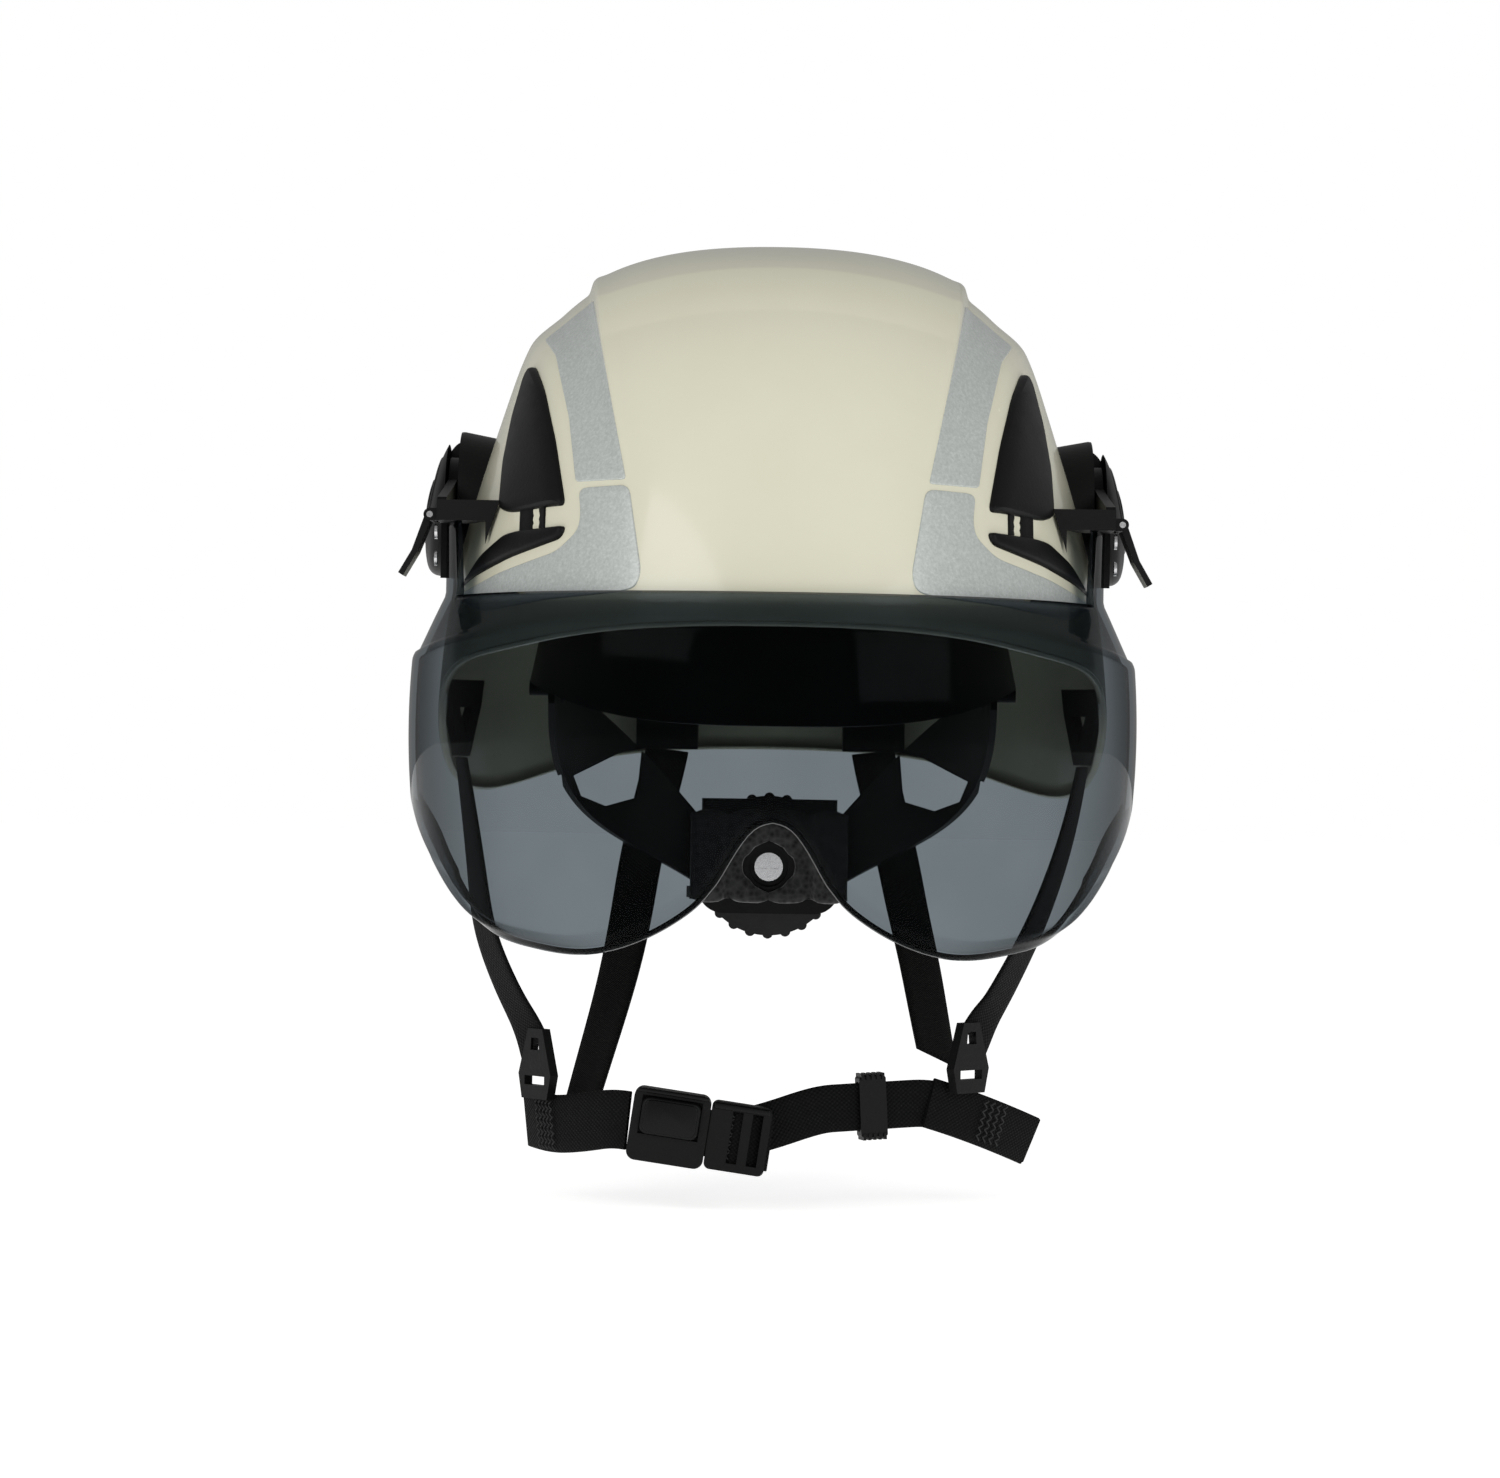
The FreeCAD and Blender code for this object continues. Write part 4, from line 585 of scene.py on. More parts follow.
def rounded_ring(outline, radius, step):
    """The outline in metres with its corners rounded and its edges divided."""
    corners = [np.array(p, dtype=float) * MM for p in outline]
    ring = []
    for k, corner in enumerate(corners):
        before, after = corners[k - 1], corners[(k + 1) % len(corners)]
        reach = [min(radius, 0.45 * np.linalg.norm(p - corner)) for p in (before, after)]
        start = corner + (before - corner) / np.linalg.norm(before - corner) * reach[0]
        end = corner + (after - corner) / np.linalg.norm(after - corner) * reach[1]
        for t in np.linspace(0, 1, 5):
            ring.append((1 - t) ** 2 * start + 2 * t * (1 - t) * corner + t ** 2 * end)
    filled = []
    for p, q in zip(ring, ring[1:] + ring[:1]):
        parts = max(1, int(np.ceil(np.linalg.norm(q - p) / step)))
        filled += [p + (q - p) * k / parts for k in range(parts)]
    return np.array(filled)


def to_outline(points, ring):
    """Each point's distance to the ring."""
    a, b = ring, np.roll(ring, -1, axis=0)
    along = b - a
    length2 = np.sum(along ** 2, axis=1) + 1e-18
    best = np.full(len(points), 1e9)
    for start, run, l2 in zip(a, along, length2):
        t = np.clip(((points - start) @ run) / l2, 0, 1)
        best = np.minimum(best, np.linalg.norm(points - start - t[:, None] * run, axis=1))
    return best


def inside(points, ring):
    x, z = points[:, 0], points[:, 1]
    odd = np.zeros(len(points), dtype=bool)
    for (x0, z0), (x1, z1) in zip(ring, np.roll(ring, -1, axis=0)):
        if z0 != z1:
            crosses = ((z0 > z) != (z1 > z)) & (x < (x1 - x0) * (z - z0) / (z1 - z0) + x0)
            odd ^= crosses
    return odd


def fill_outline(ring, edge, step):
    """Triangles inside a ring: rows of points near its edge and an even net further in."""
    centre_sign = 0.5 * np.sum(ring[:, 0] * np.roll(ring[:, 1], -1) - np.roll(ring[:, 0], -1) * ring[:, 1])
    tangent = np.roll(ring, -1, axis=0) - np.roll(ring, 1, axis=0)
    normal = np.stack([-tangent[:, 1], tangent[:, 0]], axis=1) * np.sign(centre_sign)
    normal /= np.linalg.norm(normal, axis=1, keepdims=True) + 1e-12
    points = [ring]
    for share in (0.3, 0.65, 1.0):
        row = ring + normal * edge * share
        keep = inside(row, ring) & (to_outline(row, ring) > 0.93 * edge * share)
        points.append(row[keep])
    low, high = ring.min(axis=0), ring.max(axis=0)
    xs = np.arange(low[0], high[0], step)
    zs = np.arange(low[1], high[1], step * 0.866)
    net = np.array([(x + (k % 2) * step / 2, z) for k, z in enumerate(zs) for x in xs])
    net = net[inside(net, ring)]
    points.append(net[to_outline(net, ring) > edge + step * 0.45])
    flat = np.vstack(points)
    loop = [(k, (k + 1) % len(ring)) for k in range(len(ring))]
    verts, _, faces, _, _, _ = delaunay_2d_cdt([Vector(p) for p in flat], loop, [], 1, 1e-7)
    return np.array([tuple(v) for v in verts]), faces


def on_shell(x, z, ahead):
    """The shell's outside in front of (or behind) a point, with its normal."""
    start = Vector((x, -0.4 if ahead else 0.4, z))
    hit, normal, _, _ = SKIN.ray_cast(start, Vector((0, 1 if ahead else -1, 0)))
    if hit is None:
        hit, normal, _, _ = SKIN.find_nearest(Vector((x, -0.05 if ahead else 0.05, z)))
    outwards = Vector((hit.x, hit.y, hit.z + 0.03))
    if normal.dot(outwards) < 0:
        normal = -normal
    return np.array(hit), np.array(normal)


def shell_patch(name, outline, ahead, side, rise, edge, material, replaced=(), radius=2.5, relief_of=None,
                sink=0.0006, step=0.0028):
    """A thin closed piece on the shell; relief_of adds to its height, from its place in the outline."""
    ring = rounded_ring(outline, radius * MM, 0.0016)
    flat, faces = fill_outline(ring, edge, step)
    distance = to_outline(flat, ring)
    round_edge = np.sqrt(np.clip(1 - (1 - np.clip(distance / edge, 0, 1)) ** 2, 0, 1))
    height = rise * round_edge
    if relief_of is not None:
        height = height + relief_of(flat) * np.clip(distance / edge, 0, 1)
    top, foot = [], []
    for (x, z), h in zip(flat, height):
        hit, normal = on_shell(side * x, z, ahead)
        top.append(hit + normal * h)
        foot.append(hit - normal * sink)
    count = len(flat)
    mesh_faces = [tuple(f) for f in faces] + [tuple(count + k for k in reversed(f)) for f in faces]
    uses = {}
    for f in faces:
        for a, b in zip(f, list(f[1:]) + [f[0]]):
            uses[(a, b)] = uses.get((a, b), 0) + 1
    for (a, b) in uses:
        if (b, a) not in uses:
            mesh_faces.append((a, b, b + count, a + count))
    obj = piece(name, top + foot, mesh_faces, material, "root", replaced)
    outward(obj)
    layer = obj.data.attributes.new("edge_distance", "FLOAT", "POINT")
    layer.data.foreach_set("value", np.concatenate([distance, np.zeros(count)]).astype(np.float32))
    sharpen(obj, 38.0)
    return obj


def sail_relief(flat):
    """A sail has a broad face and a narrow one that meet in a ridge near its inner edge."""
    x, z = flat[:, 0] / MM, flat[:, 1] / MM
    ridge = 79.0 - (86.0 - z) * 0.205
    outer = np.clip((x - ridge) / 17.0, 0, 1)
    inner = np.clip((ridge - x) / 3.2, 0, 1)
    return 0.0011 * (1 - outer) * (1 - inner)


def bar_relief(flat):
    x, z = flat[:, 0] / MM, flat[:, 1] / MM
    middle = 31.0 - np.clip(x - 66, 0, 60) * 0.36
    return 0.0006 * np.exp(-((z - middle) / 3.0) ** 2)


def stem_relief(flat):
    """Two ribs with a groove between them."""
    x = flat[:, 0] / MM
    return -0.0009 * np.exp(-((x - 75.6) / 1.0) ** 2) - 0.0005


def build_shell_trim():
    for ahead in (True, False):
        end = "front" if ahead else "rear"
        for side, hand in ((1, "left"), (-1, "right")):
            tape_node = (end + "_tapes",) if side > 0 else ()
            shell_patch(f"{end}_tape_upper_{hand}", TAPE_UPPER, ahead, side, 0.00045, 0.0004, TAPE,
                        tape_node, 1.2)
            shell_patch(f"{end}_tape_lower_{hand}", TAPE_LOWER, ahead, side, 0.00045, 0.0004, TAPE,
                        (), 3.0)
            insert = f"{end}_vent_insert_{hand}"
            shell_patch(f"{end}_vent_sail_{hand}", SAIL, ahead, side, 0.0012, 0.0012, BLACK,
                        (insert,), 3.0, sail_relief)
            shell_patch(f"{end}_vent_stem_{hand}", STEM, ahead, side, 0.0009, 0.0007, BLACK,
                        (), 0.6, stem_relief, step=0.0014)
            shell_patch(f"{end}_vent_bar_{hand}", BAR, ahead, side, 0.0013, 0.0011, BLACK,
                        (), 2.0, bar_relief, step=0.002)


build_shell_trim()


# ------------------------------------------------------------------ visor lens
LENS_WALL = 0.0022
LENS_HALF_WIDTH = HALF_WIDTH + 0.006
LENS_CENTRE_Y = -0.020
LENS_POWER = 2.2
LENS_MIDDLE_Z = -0.031
LENS_BARREL = 0.26
FLANGE_TUCK = 0.014
FLANGE_TOP = 0.010
FOLD_DROP = 0.008
FOLD_Z = -0.0005
EAR_TOP = 0.034
EAR_FRONT = -0.066
RIM_BAND = 0.0085
# Radius of the black tube that paints shade along the lens's lower edge.
EDGE_SHADE_RADIUS = 0.0009
LENS_EDGE = ((0, -59), (7, -62), (13, -70), (20, -81), (29, -89.5), (43.5, -97.5), (62, -102), (79, -100.5),
             (95, -94), (106, -80), (115, -61), (121, -38), (126, -10))
LENS_BACK = ((-70, -30), (-50, -21), (-32, -19), (-16, -23), (-3, -34), (12, -45), (31, -46), (40, -46))


def lens_depth():
    """The lens's forward reach, from the shell's brow."""
    brow = on_shell(0.0, 0.002, True)[0][1]
    return -brow + 0.0175 + LENS_CENTRE_Y


LENS_FRONT = lens_depth()


def lens_point(angle, z, tuck):
    """A point of the lens's middle surface; tuck is how far it has turned in towards the shell."""
    side, ahead = sin(angle), cos(angle)
    bulge = (z - LENS_MIDDLE_Z) if tuck < 0.0005 else LENS_MIDDLE_Z
    barrel = bulge ** 2 / (2 * LENS_BARREL)
    half, depth = LENS_HALF_WIDTH - tuck - barrel, LENS_FRONT - tuck - barrel
    return np.array([half * power_curve(side, LENS_POWER),
                     LENS_CENTRE_Y - depth * power_curve(ahead, LENS_POWER), z])


def angle_at_depth(y, z, tuck):
    """The plan angle at which the lens's side reaches a given place along it."""
    low, high = radians(20), radians(110)
    for _ in range(40):
        middle = (low + high) / 2
        if lens_point(middle, z, tuck)[1] < y:
            low = middle
        else:
            high = middle
    return low


def edge_z(x):
    """The lower edge's height, nose arch included."""
    keys, values = zip(*LENS_EDGE)
    return natural_spline(np.array(keys) * MM, np.array(values) * MM, np.array([min(abs(x), 0.126)]))[0]


def back_y(z):
    return interpolate([(a * MM, b * MM) for a, b in LENS_BACK], z)


LENS_COLUMNS = 221
EAR_COLUMNS = 14


def column_share(k):
    """Columns by share of the half turn; the last ones lie under the ear."""
    return -1.0 + 2.0 * k / (LENS_COLUMNS - 1)


def flange_rows(near_side):
    """From the flange's top edge to the face: (height, tuck); the fold has a small radius."""
    tuck = FLANGE_TUCK * (1 - 0.36 * near_side)
    fold = FOLD_Z - FOLD_DROP * near_side
    rows = [(FLANGE_TOP + (fold + 0.0016 - FLANGE_TOP) * s, tuck * (1 - s) + 0.0013 * s) for s in np.linspace(0, 1, 9)]
    for turn in np.linspace(0.2, 1.0, 5):
        rows.append((fold + 0.0016 - 0.0034 * turn, 0.0013 * (1 - turn) ** 2))
    return rows


def lens_column(share):
    """One column of the lens from its flange down the face and over the inturned lower band."""
    near_side = abs(sin(share * radians(92))) ** 6

    def at(z, tuck):
        end = angle_at_depth(back_y(z), z, tuck)
        return lens_point(share * end, z, tuck)

    points = [at(z, tuck) for z, tuck in flange_rows(near_side)]
    start = FOLD_Z - FOLD_DROP * near_side - 0.0018
    low, high = -0.11, -0.02
    for _ in range(26):
        middle = (low + high) / 2
        if middle - edge_z(at(middle, 0.0)[0]) < 0:
            low = middle
        else:
            high = middle
    lip = RIM_BAND * (1.0 - 0.75 * smooth_step(0.86, 1.0, abs(share)))
    bottom = min(low + lip, start - 0.004)
    for s in np.linspace(0, 1, 34)[1:]:
        points.append(at(start + (bottom - start) * s, 0.0))
    last, above = points[-1], points[-2]
    down = (last - above) / np.linalg.norm(last - above)
    around = lens_point(share * angle_at_depth(back_y(bottom), bottom, 0.0) + 0.01, bottom, 0.0) - last
    inwards = np.cross(around, down)
    inwards /= np.linalg.norm(inwards)
    if inwards @ np.array([last[0], last[1] - LENS_CENTRE_Y, 0]) > 0:
        inwards = -inwards
    for drop, turned in ((0.10, 0.005), (0.2, 0.03), (0.28, 0.09), (0.36, 0.18), (0.5, 0.38), (0.7, 0.62), (0.85, 0.8),
                         (0.94, 0.93), (1.0, 1.08)):
        points.append(last + down * lip * drop + inwards * lip * 0.72 * turned)
    return points


def build_painted_edge_shade(line):
    """A thin black tube along the lens's lower edge, nose arch included: painted shade that draws the edge's dark line.
    """
    line = np.array(line)
    run = np.gradient(line, axis=0)
    run /= np.linalg.norm(run, axis=1, keepdims=True)
    beside = np.cross(run, np.array([0.0, 0.0, 1.0]))
    beside /= np.linalg.norm(beside, axis=1, keepdims=True) + 1e-9
    up = np.cross(beside, run)
    turns = 10
    points = [p + (beside[k] * cos(2 * pi * t / turns) + up[k] * sin(2 * pi * t / turns)) * EDGE_SHADE_RADIUS
              for k, p in enumerate(line) for t in range(turns)]
    faces = []
    for k in range(len(line) - 1):
        for t in range(turns):
            a, b = k * turns + t, k * turns + (t + 1) % turns
            faces.append((a, b, b + turns, a + turns))
    faces.append(tuple(reversed(range(turns))))
    faces.append(tuple((len(line) - 1) * turns + t for t in range(turns)))
    outward(piece("visor_painted_edge_shade", points, faces, SATIN, "visor"))


def build_lens():
    columns = [lens_column(column_share(k)) for k in range(LENS_COLUMNS)]
    rows = len(columns[0])
    points = [p for column_points in columns for p in column_points]
    faces = strip_faces(LENS_COLUMNS, rows, closed=False)
    for side in (1, -1):
        ears = [k for k in range(LENS_COLUMNS) if side * column_share(k) > 0
                and points[k * rows][1] > EAR_FRONT - 0.004]
        levels = np.linspace(0, 1, 14)[1:]
        base = len(points)
        for k in ears:
            foot = points[k * rows]
            rise = smooth_step(EAR_FRONT - 0.004, EAR_FRONT + 0.003, foot[1])
            top = FLANGE_TOP + 0.0005 + (EAR_TOP - FLANGE_TOP) * rise
            for level in levels:
                z = FLANGE_TOP + (top - FLANGE_TOP) * level
                share = abs(column_share(k))
                end = angle_at_depth(back_y(z), z, FLANGE_TUCK * 0.66)
                p = lens_point(share * end, z, FLANGE_TUCK * 0.66)
                points.append(np.array([side * p[0], foot[1] + (p[1] - foot[1]) * level, z]))
        count = len(levels)
        for n, k in enumerate(ears[:-1]):
            a, b = base + n * count, base + (n + 1) * count
            faces.append((k * rows, ears[n + 1] * rows, b, a))
            for level in range(count - 1):
                faces.append((a + level, b + level, b + level + 1, a + level + 1))
    obj = piece("visor_glass", points, faces, TINT, "visor", ("visor_lens",))
    outward(obj)
    # A black tube along the lower edge paints its dark line as shade.
    build_painted_edge_shade([column_points[-1] for column_points in columns])
    wall = obj.modifiers.new("wall", "SOLIDIFY")
    wall.thickness = LENS_WALL
    wall.offset = 0.0
    wall.use_even_offset = True
    return obj


build_lens()


# ------------------------------------------------------------------ webbing
def spline_points(controls, count):
    """A smooth clamped curve over control points, evenly sampled."""
    controls = np.array(controls, dtype=float)
    dense = clamped_basis(len(controls), np.linspace(0, len(controls) - 3.0, 600)) @ controls
    length = np.concatenate([[0], np.cumsum(np.linalg.norm(np.diff(dense, axis=0), axis=1))])
    even = np.linspace(0, length[-1], count)
    return np.stack([np.interp(even, length, dense[:, k]) for k in range(3)], axis=1), length[-1]


WEB_SECTION = ((-1, -0.25), (-0.985, -0.75), (-0.95, -1), (-0.6, -1), (-0.2, -1), (0.2, -1), (0.6, -1), (0.95, -1),
               (0.985, -0.75), (1, -0.25), (1, 0.25), (0.985, 0.75), (0.95, 1), (0.6, 1), (0.2, 1), (-0.2, 1),
               (-0.6, 1), (-0.95, 1), (-0.985, 0.75), (-1, 0.25))


def web_piece(name, controls, acrosses, width, thickness, body="root", replaced=()):
    """Flat webbing with rounded selvedges; its UV map holds metres along and across for the weave."""
    controls = [np.array(c, dtype=float) * MM for c in controls]
    samples, length = spline_points(controls, max(12, int(sum(np.linalg.norm(b - a) for a, b in
                                                              zip(controls, controls[1:])) / 0.0016)))
    across_line, _ = spline_points([np.array(a, dtype=float) / np.linalg.norm(a) * (0.1 + 0.0001 * k)
                                    for k, a in enumerate(acrosses)], len(samples))
    tangent = np.gradient(samples, axis=0)
    tangent /= np.linalg.norm(tangent, axis=1, keepdims=True)
    points, uvs = [], []
    count = len(WEB_SECTION)
    for k, (centre, along) in enumerate(zip(samples, tangent)):
        across = across_line[k] - along * (across_line[k] @ along)
        across /= np.linalg.norm(across)
        through = np.cross(along, across)
        for a, t in WEB_SECTION:
            points.append(centre + across * a * width / 2 + through * t * thickness / 2)
            uvs.append((length * k / (len(samples) - 1), a * width / 2))
    faces = []
    for k in range(len(samples) - 1):
        for s in range(count):
            a, b = k * count + s, k * count + (s + 1) % count
            faces.append((a, b, b + count, a + count))
    faces.append(tuple(range(count)))
    faces.append(tuple((len(samples) - 1) * count + s for s in reversed(range(count))))
    obj = piece(name, points, faces, WEB, body, replaced)
    layer = obj.data.uv_layers.new(name="weave")
    for loop in obj.data.loops:
        layer.data[loop.index].uv = uvs[loop.vertex_index]
    outward(obj)
    sharpen(obj, 50.0)
    obj["samples"] = 0
    del obj["samples"]
    return obj


WEB_WIDTH, WEB_THICKNESS, CHIN_WIDTH = 0.0155, 0.0014, 0.019


def side_at(y, z):
    """Half width of the shell's outside at a place along it and a height."""
    hit = SKIN.ray_cast(Vector((0.4, y, z)), Vector((-1, 0, 0)))[0]
    return hit.x / MM


def rear_at(x, z):
    return SKIN.ray_cast(Vector((x, 0.4, z)), Vector((0, -1, 0)))[0].y / MM


ANCHOR_X = side_at(-0.020, -0.014) - 2.6 - 4.5
REAR_ANCHOR_Y = rear_at(0.037, -0.036) - 2.6 - 9.5
# Webbing routes in mm, written at +X; the straps hang from the shell's anchors.
FRONT_WEBS = {
    "left": ((ANCHOR_X, -20, -41.5), (ANCHOR_X - 3, -19, -60), (92, -19, -84), (84, -20, -102), (74, -23, -121),
             (70.9, -25, -125.1)),
    "right": ((ANCHOR_X, -20, -41.5), (ANCHOR_X - 3, -19, -60), (96, -18, -84), (94, -17, -100), (84, -19, -122),
              (78.9, -21.2, -129.6))}
# Each front strap goes on into its divider's slot.
WEB_TUCKS = {"left": (67.5, -29.5, -131.5), "right": (76.4, -24.4, -136.5)}
REAR_WEBS = {
    "left": ((37, REAR_ANCHOR_Y, -38.5), (39, REAR_ANCHOR_Y - 8, -50), (44.5, 98, -70), (48, 68, -92), (52, 38, -110),
             (54, 12, -125), (56, -12, -138)),
    "right": ((37, REAR_ANCHOR_Y, -38.5), (39, REAR_ANCHOR_Y - 8, -50), (44.5, 98, -70), (47, 68, -93),
              (50, 38, -112), (54, 12, -129), (58, -12, -144), (61, -30, -156))}
BUCKLE_CENTRE = np.array((-31.5, -52.0, -159.5))
BUCKLE_TILT = radians(8.0)
KEEPER_CENTRE = np.array((34.0, -40.5, -152.6))


def buckle_point(x, y, z):
    """A point given in the buckle's own frame: x along it, y through it, z across it, in mm."""
    return BUCKLE_CENTRE + np.array((x * cos(BUCKLE_TILT) + z * sin(BUCKLE_TILT), y,
                                     z * cos(BUCKLE_TILT) - x * sin(BUCKLE_TILT)))


CHIN_END = buckle_point(-13.3, 0, 0)
CHIN_START = buckle_point(15.5, 3.3, 0)
RUN = KEEPER_CENTRE - np.array((4.0, -48.6, -154.3))
RUN = RUN / np.linalg.norm(RUN)
CHIN_RIGHT = ((-79, -12, -160.5), (-72, -24, -161.5), (-64, -34.5, -160.5), (-55, -43.5, -158.5),
              CHIN_END + (-5, 3.0, 0.5), CHIN_END)
CHIN_RIGHT_ACROSS = ((-0.18, 0, 1), (-0.1, 0, 1), (0, 0, 1), (0, 0, 1), (0.12, 0, 1), (0.12, 0, 1))
CHIN_STRAIGHT = [KEEPER_CENTRE + RUN * s for s in (-20.0, -12.0, -4.0, 4.0, 12.0, 20.0)]
CHIN_LEFT_TAIL = ((64, -29, -155.0), (76, -18, -160.0), (88, -4, -166.0))
CHIN_LEFT = [CHIN_START, CHIN_START + (9, 0.2, -0.6)] + CHIN_STRAIGHT + list(CHIN_LEFT_TAIL)
CHIN_LEFT_ACROSS = ((0.14, 0, 1), (0.1, 0, 1)) + ((0, 0, 1),) * 6 + ((0.1, 0, 1), (0.25, 0, 1), (0.32, 0, 1))


def build_harness():
    for hand, side in (("left", 1), ("right", -1)):
        front = [(side * x, y, z) for x, y, z in FRONT_WEBS[hand] + (WEB_TUCKS[hand],)]
        across = [(side * (0.25 + 0.55 * k / (len(front) - 1.0)), 1, 0) for k in range(len(front))]
        web_piece(f"front_strap_{hand}", front, across, WEB_WIDTH, WEB_THICKNESS, replaced=(f"front_web_{hand}",))
        rear = [(side * x, y, z) for x, y, z in REAR_WEBS[hand]]
        across = [(1, side * 0.1 * k, -0.06 * side * k) for k in range(len(rear))]
        web_piece(f"rear_strap_{hand}", rear, across, WEB_WIDTH, WEB_THICKNESS, replaced=(f"rear_web_{hand}",))
    web_piece("chin_strap_right", CHIN_RIGHT, CHIN_RIGHT_ACROSS, CHIN_WIDTH, WEB_THICKNESS,
              replaced=("chin_web_right",))
    web_piece("chin_strap_left", CHIN_LEFT, CHIN_LEFT_ACROSS, WEB_WIDTH, WEB_THICKNESS, replaced=("chin_web_left",))
    second = [np.array(p) + (-0.55, -1.45, 0) for p in [CHIN_STRAIGHT[5]] + list(CHIN_LEFT_TAIL)]
    web_piece("chin_strap_second_layer", second, ((0, 0, 1), (0.1, 0, 1), (0.25, 0, 1), (0.32, 0, 1)), 0.0165,
              WEB_THICKNESS)


build_harness()


def build_slider_loop():
    line = [buckle_point(x, y, 0) for x, y in ((13.5, 1.5), (17, -0.6), (21, -1.7), (26, -1.7), (30, -0.4), (33, 1.5))]
    web_piece("slider_loop", line, ((0.14, 0, 1),) * 6, CHIN_WIDTH, WEB_THICKNESS, "slider")


build_slider_loop()


def zigzag(name, centre, along, across, through, length, width, rows, body="root"):
    """Lock stitching: slanted thread bars in rows, on the face of a strap."""
    centre, along, across, through = (np.array(v, dtype=float) for v in (centre, along, across, through))
    along, across = along / np.linalg.norm(along), across / np.linalg.norm(across)
    through = through / np.linalg.norm(through)
    half, thick = 0.00026, 0.00022
    points, faces = [], []
    bars = max(2, int(width / 0.0013))
    for row in range(rows):
        offset = (row + 0.5) / rows * length - length / 2
        for bar in range(bars):
            lean = 0.0009 * (1 if bar % 2 else -1)
            start = centre + along * (offset - lean) + across * (-width / 2 + width * bar / bars)
            end = centre + along * (offset + lean) + across * (-width / 2 + width * (bar + 1) / bars)
            run = (end - start) / np.linalg.norm(end - start)
            beside = np.cross(through, run)
            base = len(points)
            for share, lift in ((0, -0.3), (0.2, 1), (0.5, 1.25), (0.8, 1), (1, -0.3)):
                middle = start + (end - start) * share
                for s, t in ((-1, 0), (-0.6, 0.8), (0.6, 0.8), (1, 0), (0, -0.8)):
                    points.append(middle + beside * half * s + through * thick * (t + lift))
            for k in range(4):
                for s in range(5):
                    a, b = base + k * 5 + s, base + k * 5 + (s + 1) % 5
                    faces.append((a, b, b + 5, a + 5))
            faces.append(tuple(base + s for s in range(5)))
            faces.append(tuple(base + 20 + s for s in reversed(range(5))))
    return outward(piece(name, points, faces, THREAD, body))


def build_stitching():
    m = MM
    zigzag("stitches_fold_right", np.array(CHIN_RIGHT[1]) * m + (-0.0006, -0.0006, 0.0), (0.5, -0.86, 0), (-0.1, 0, 1),
           (-0.8, -0.6, 0), 0.012, 0.016, 5)
    zigzag("stitches_tail", (np.array(CHIN_LEFT_TAIL[1]) + (-2.0, -4.2, 1.0)) * m, (0.72, 0.66, -0.25), (0.25, 0, 1),
           (0.62, -0.78, 0), 0.012, 0.0135, 4)
    zigzag("stitches_slider", buckle_point(22.5, -1.7, 0) * m, (1, 0, -0.14), (0.14, 0, 1), (0, -1, 0), 0.007, 0.0150, 4)


build_stitching()


# ------------------------------------------------------------------ buckle details
def slab(name, half_x, half_z, radius, depth, edge, place, material, body):
    """A rounded plate with a rounded front edge; place puts (x, y, z) in mm into the row frame."""
    ring = []
    for cx, cz, start in ((half_x - radius, half_z - radius, 0), (-half_x + radius, half_z - radius, 90),
                          (-half_x + radius, -half_z + radius, 180), (half_x - radius, -half_z + radius, 270)):
        for step in range(7):
            a = radians(start + 15 * step)
            ring.append((cx + radius * cos(a), cz + radius * sin(a), cos(a), sin(a)))
    levels = [(0.0, 0.0), (0.0, -(depth - edge))]
    for step in range(1, 5):
        a = radians(22.5 * step)
        levels.append((edge * (1 - cos(a)), -(depth - edge) - edge * sin(a)))
    points, faces = [], []
    for inwards, y in levels:
        points += [np.array(place(x - nx * inwards, y, z - nz * inwards)) * MM for x, z, nx, nz in ring]
    count = len(ring)
    for level in range(len(levels) - 1):
        for k in range(count):
            a, b = level * count + k, level * count + (k + 1) % count
            faces.append((a, b, b + count, a + count))
    faces.append(tuple(reversed(range(count))))
    faces.append(tuple((len(levels) - 1) * count + k for k in range(count)))
    obj = outward(piece(name, points, faces, material, body))
    return sharpen(obj, 40.0)


def build_buckle_details():
    """The raised frame round the button and the slider's crossbar."""
    face = -4.5
    button_z = 23.6 / 2 - 6 - 2.6
    slab("button_pad", 8.6, 5.2, 2.2, 0.5, 0.35, lambda x, y, z: buckle_point(x, face - 2.4 + y + 0.1, z + button_z),
         SATIN, "button")
    slab("buckle_lip", 11.6, 0.7, 0.6, 1.1, 0.4, lambda x, y, z: buckle_point(x, face + y + 0.1, z + 11.0),
         SATIN, "root")
    slab("slider_bar", 9.2, 1.0, 0.7, 0.9, 0.45, lambda x, y, z: buckle_point(x + 22.5, face + 0.9 + y, z + 9.6),
         SATIN, "slider")


build_buckle_details()


# ------------------------------------------------------------------ pads
def evaluated_mesh(obj):
    graph = bpy.context.evaluated_depsgraph_get()
    return bpy.data.meshes.new_from_object(obj.evaluated_get(graph))


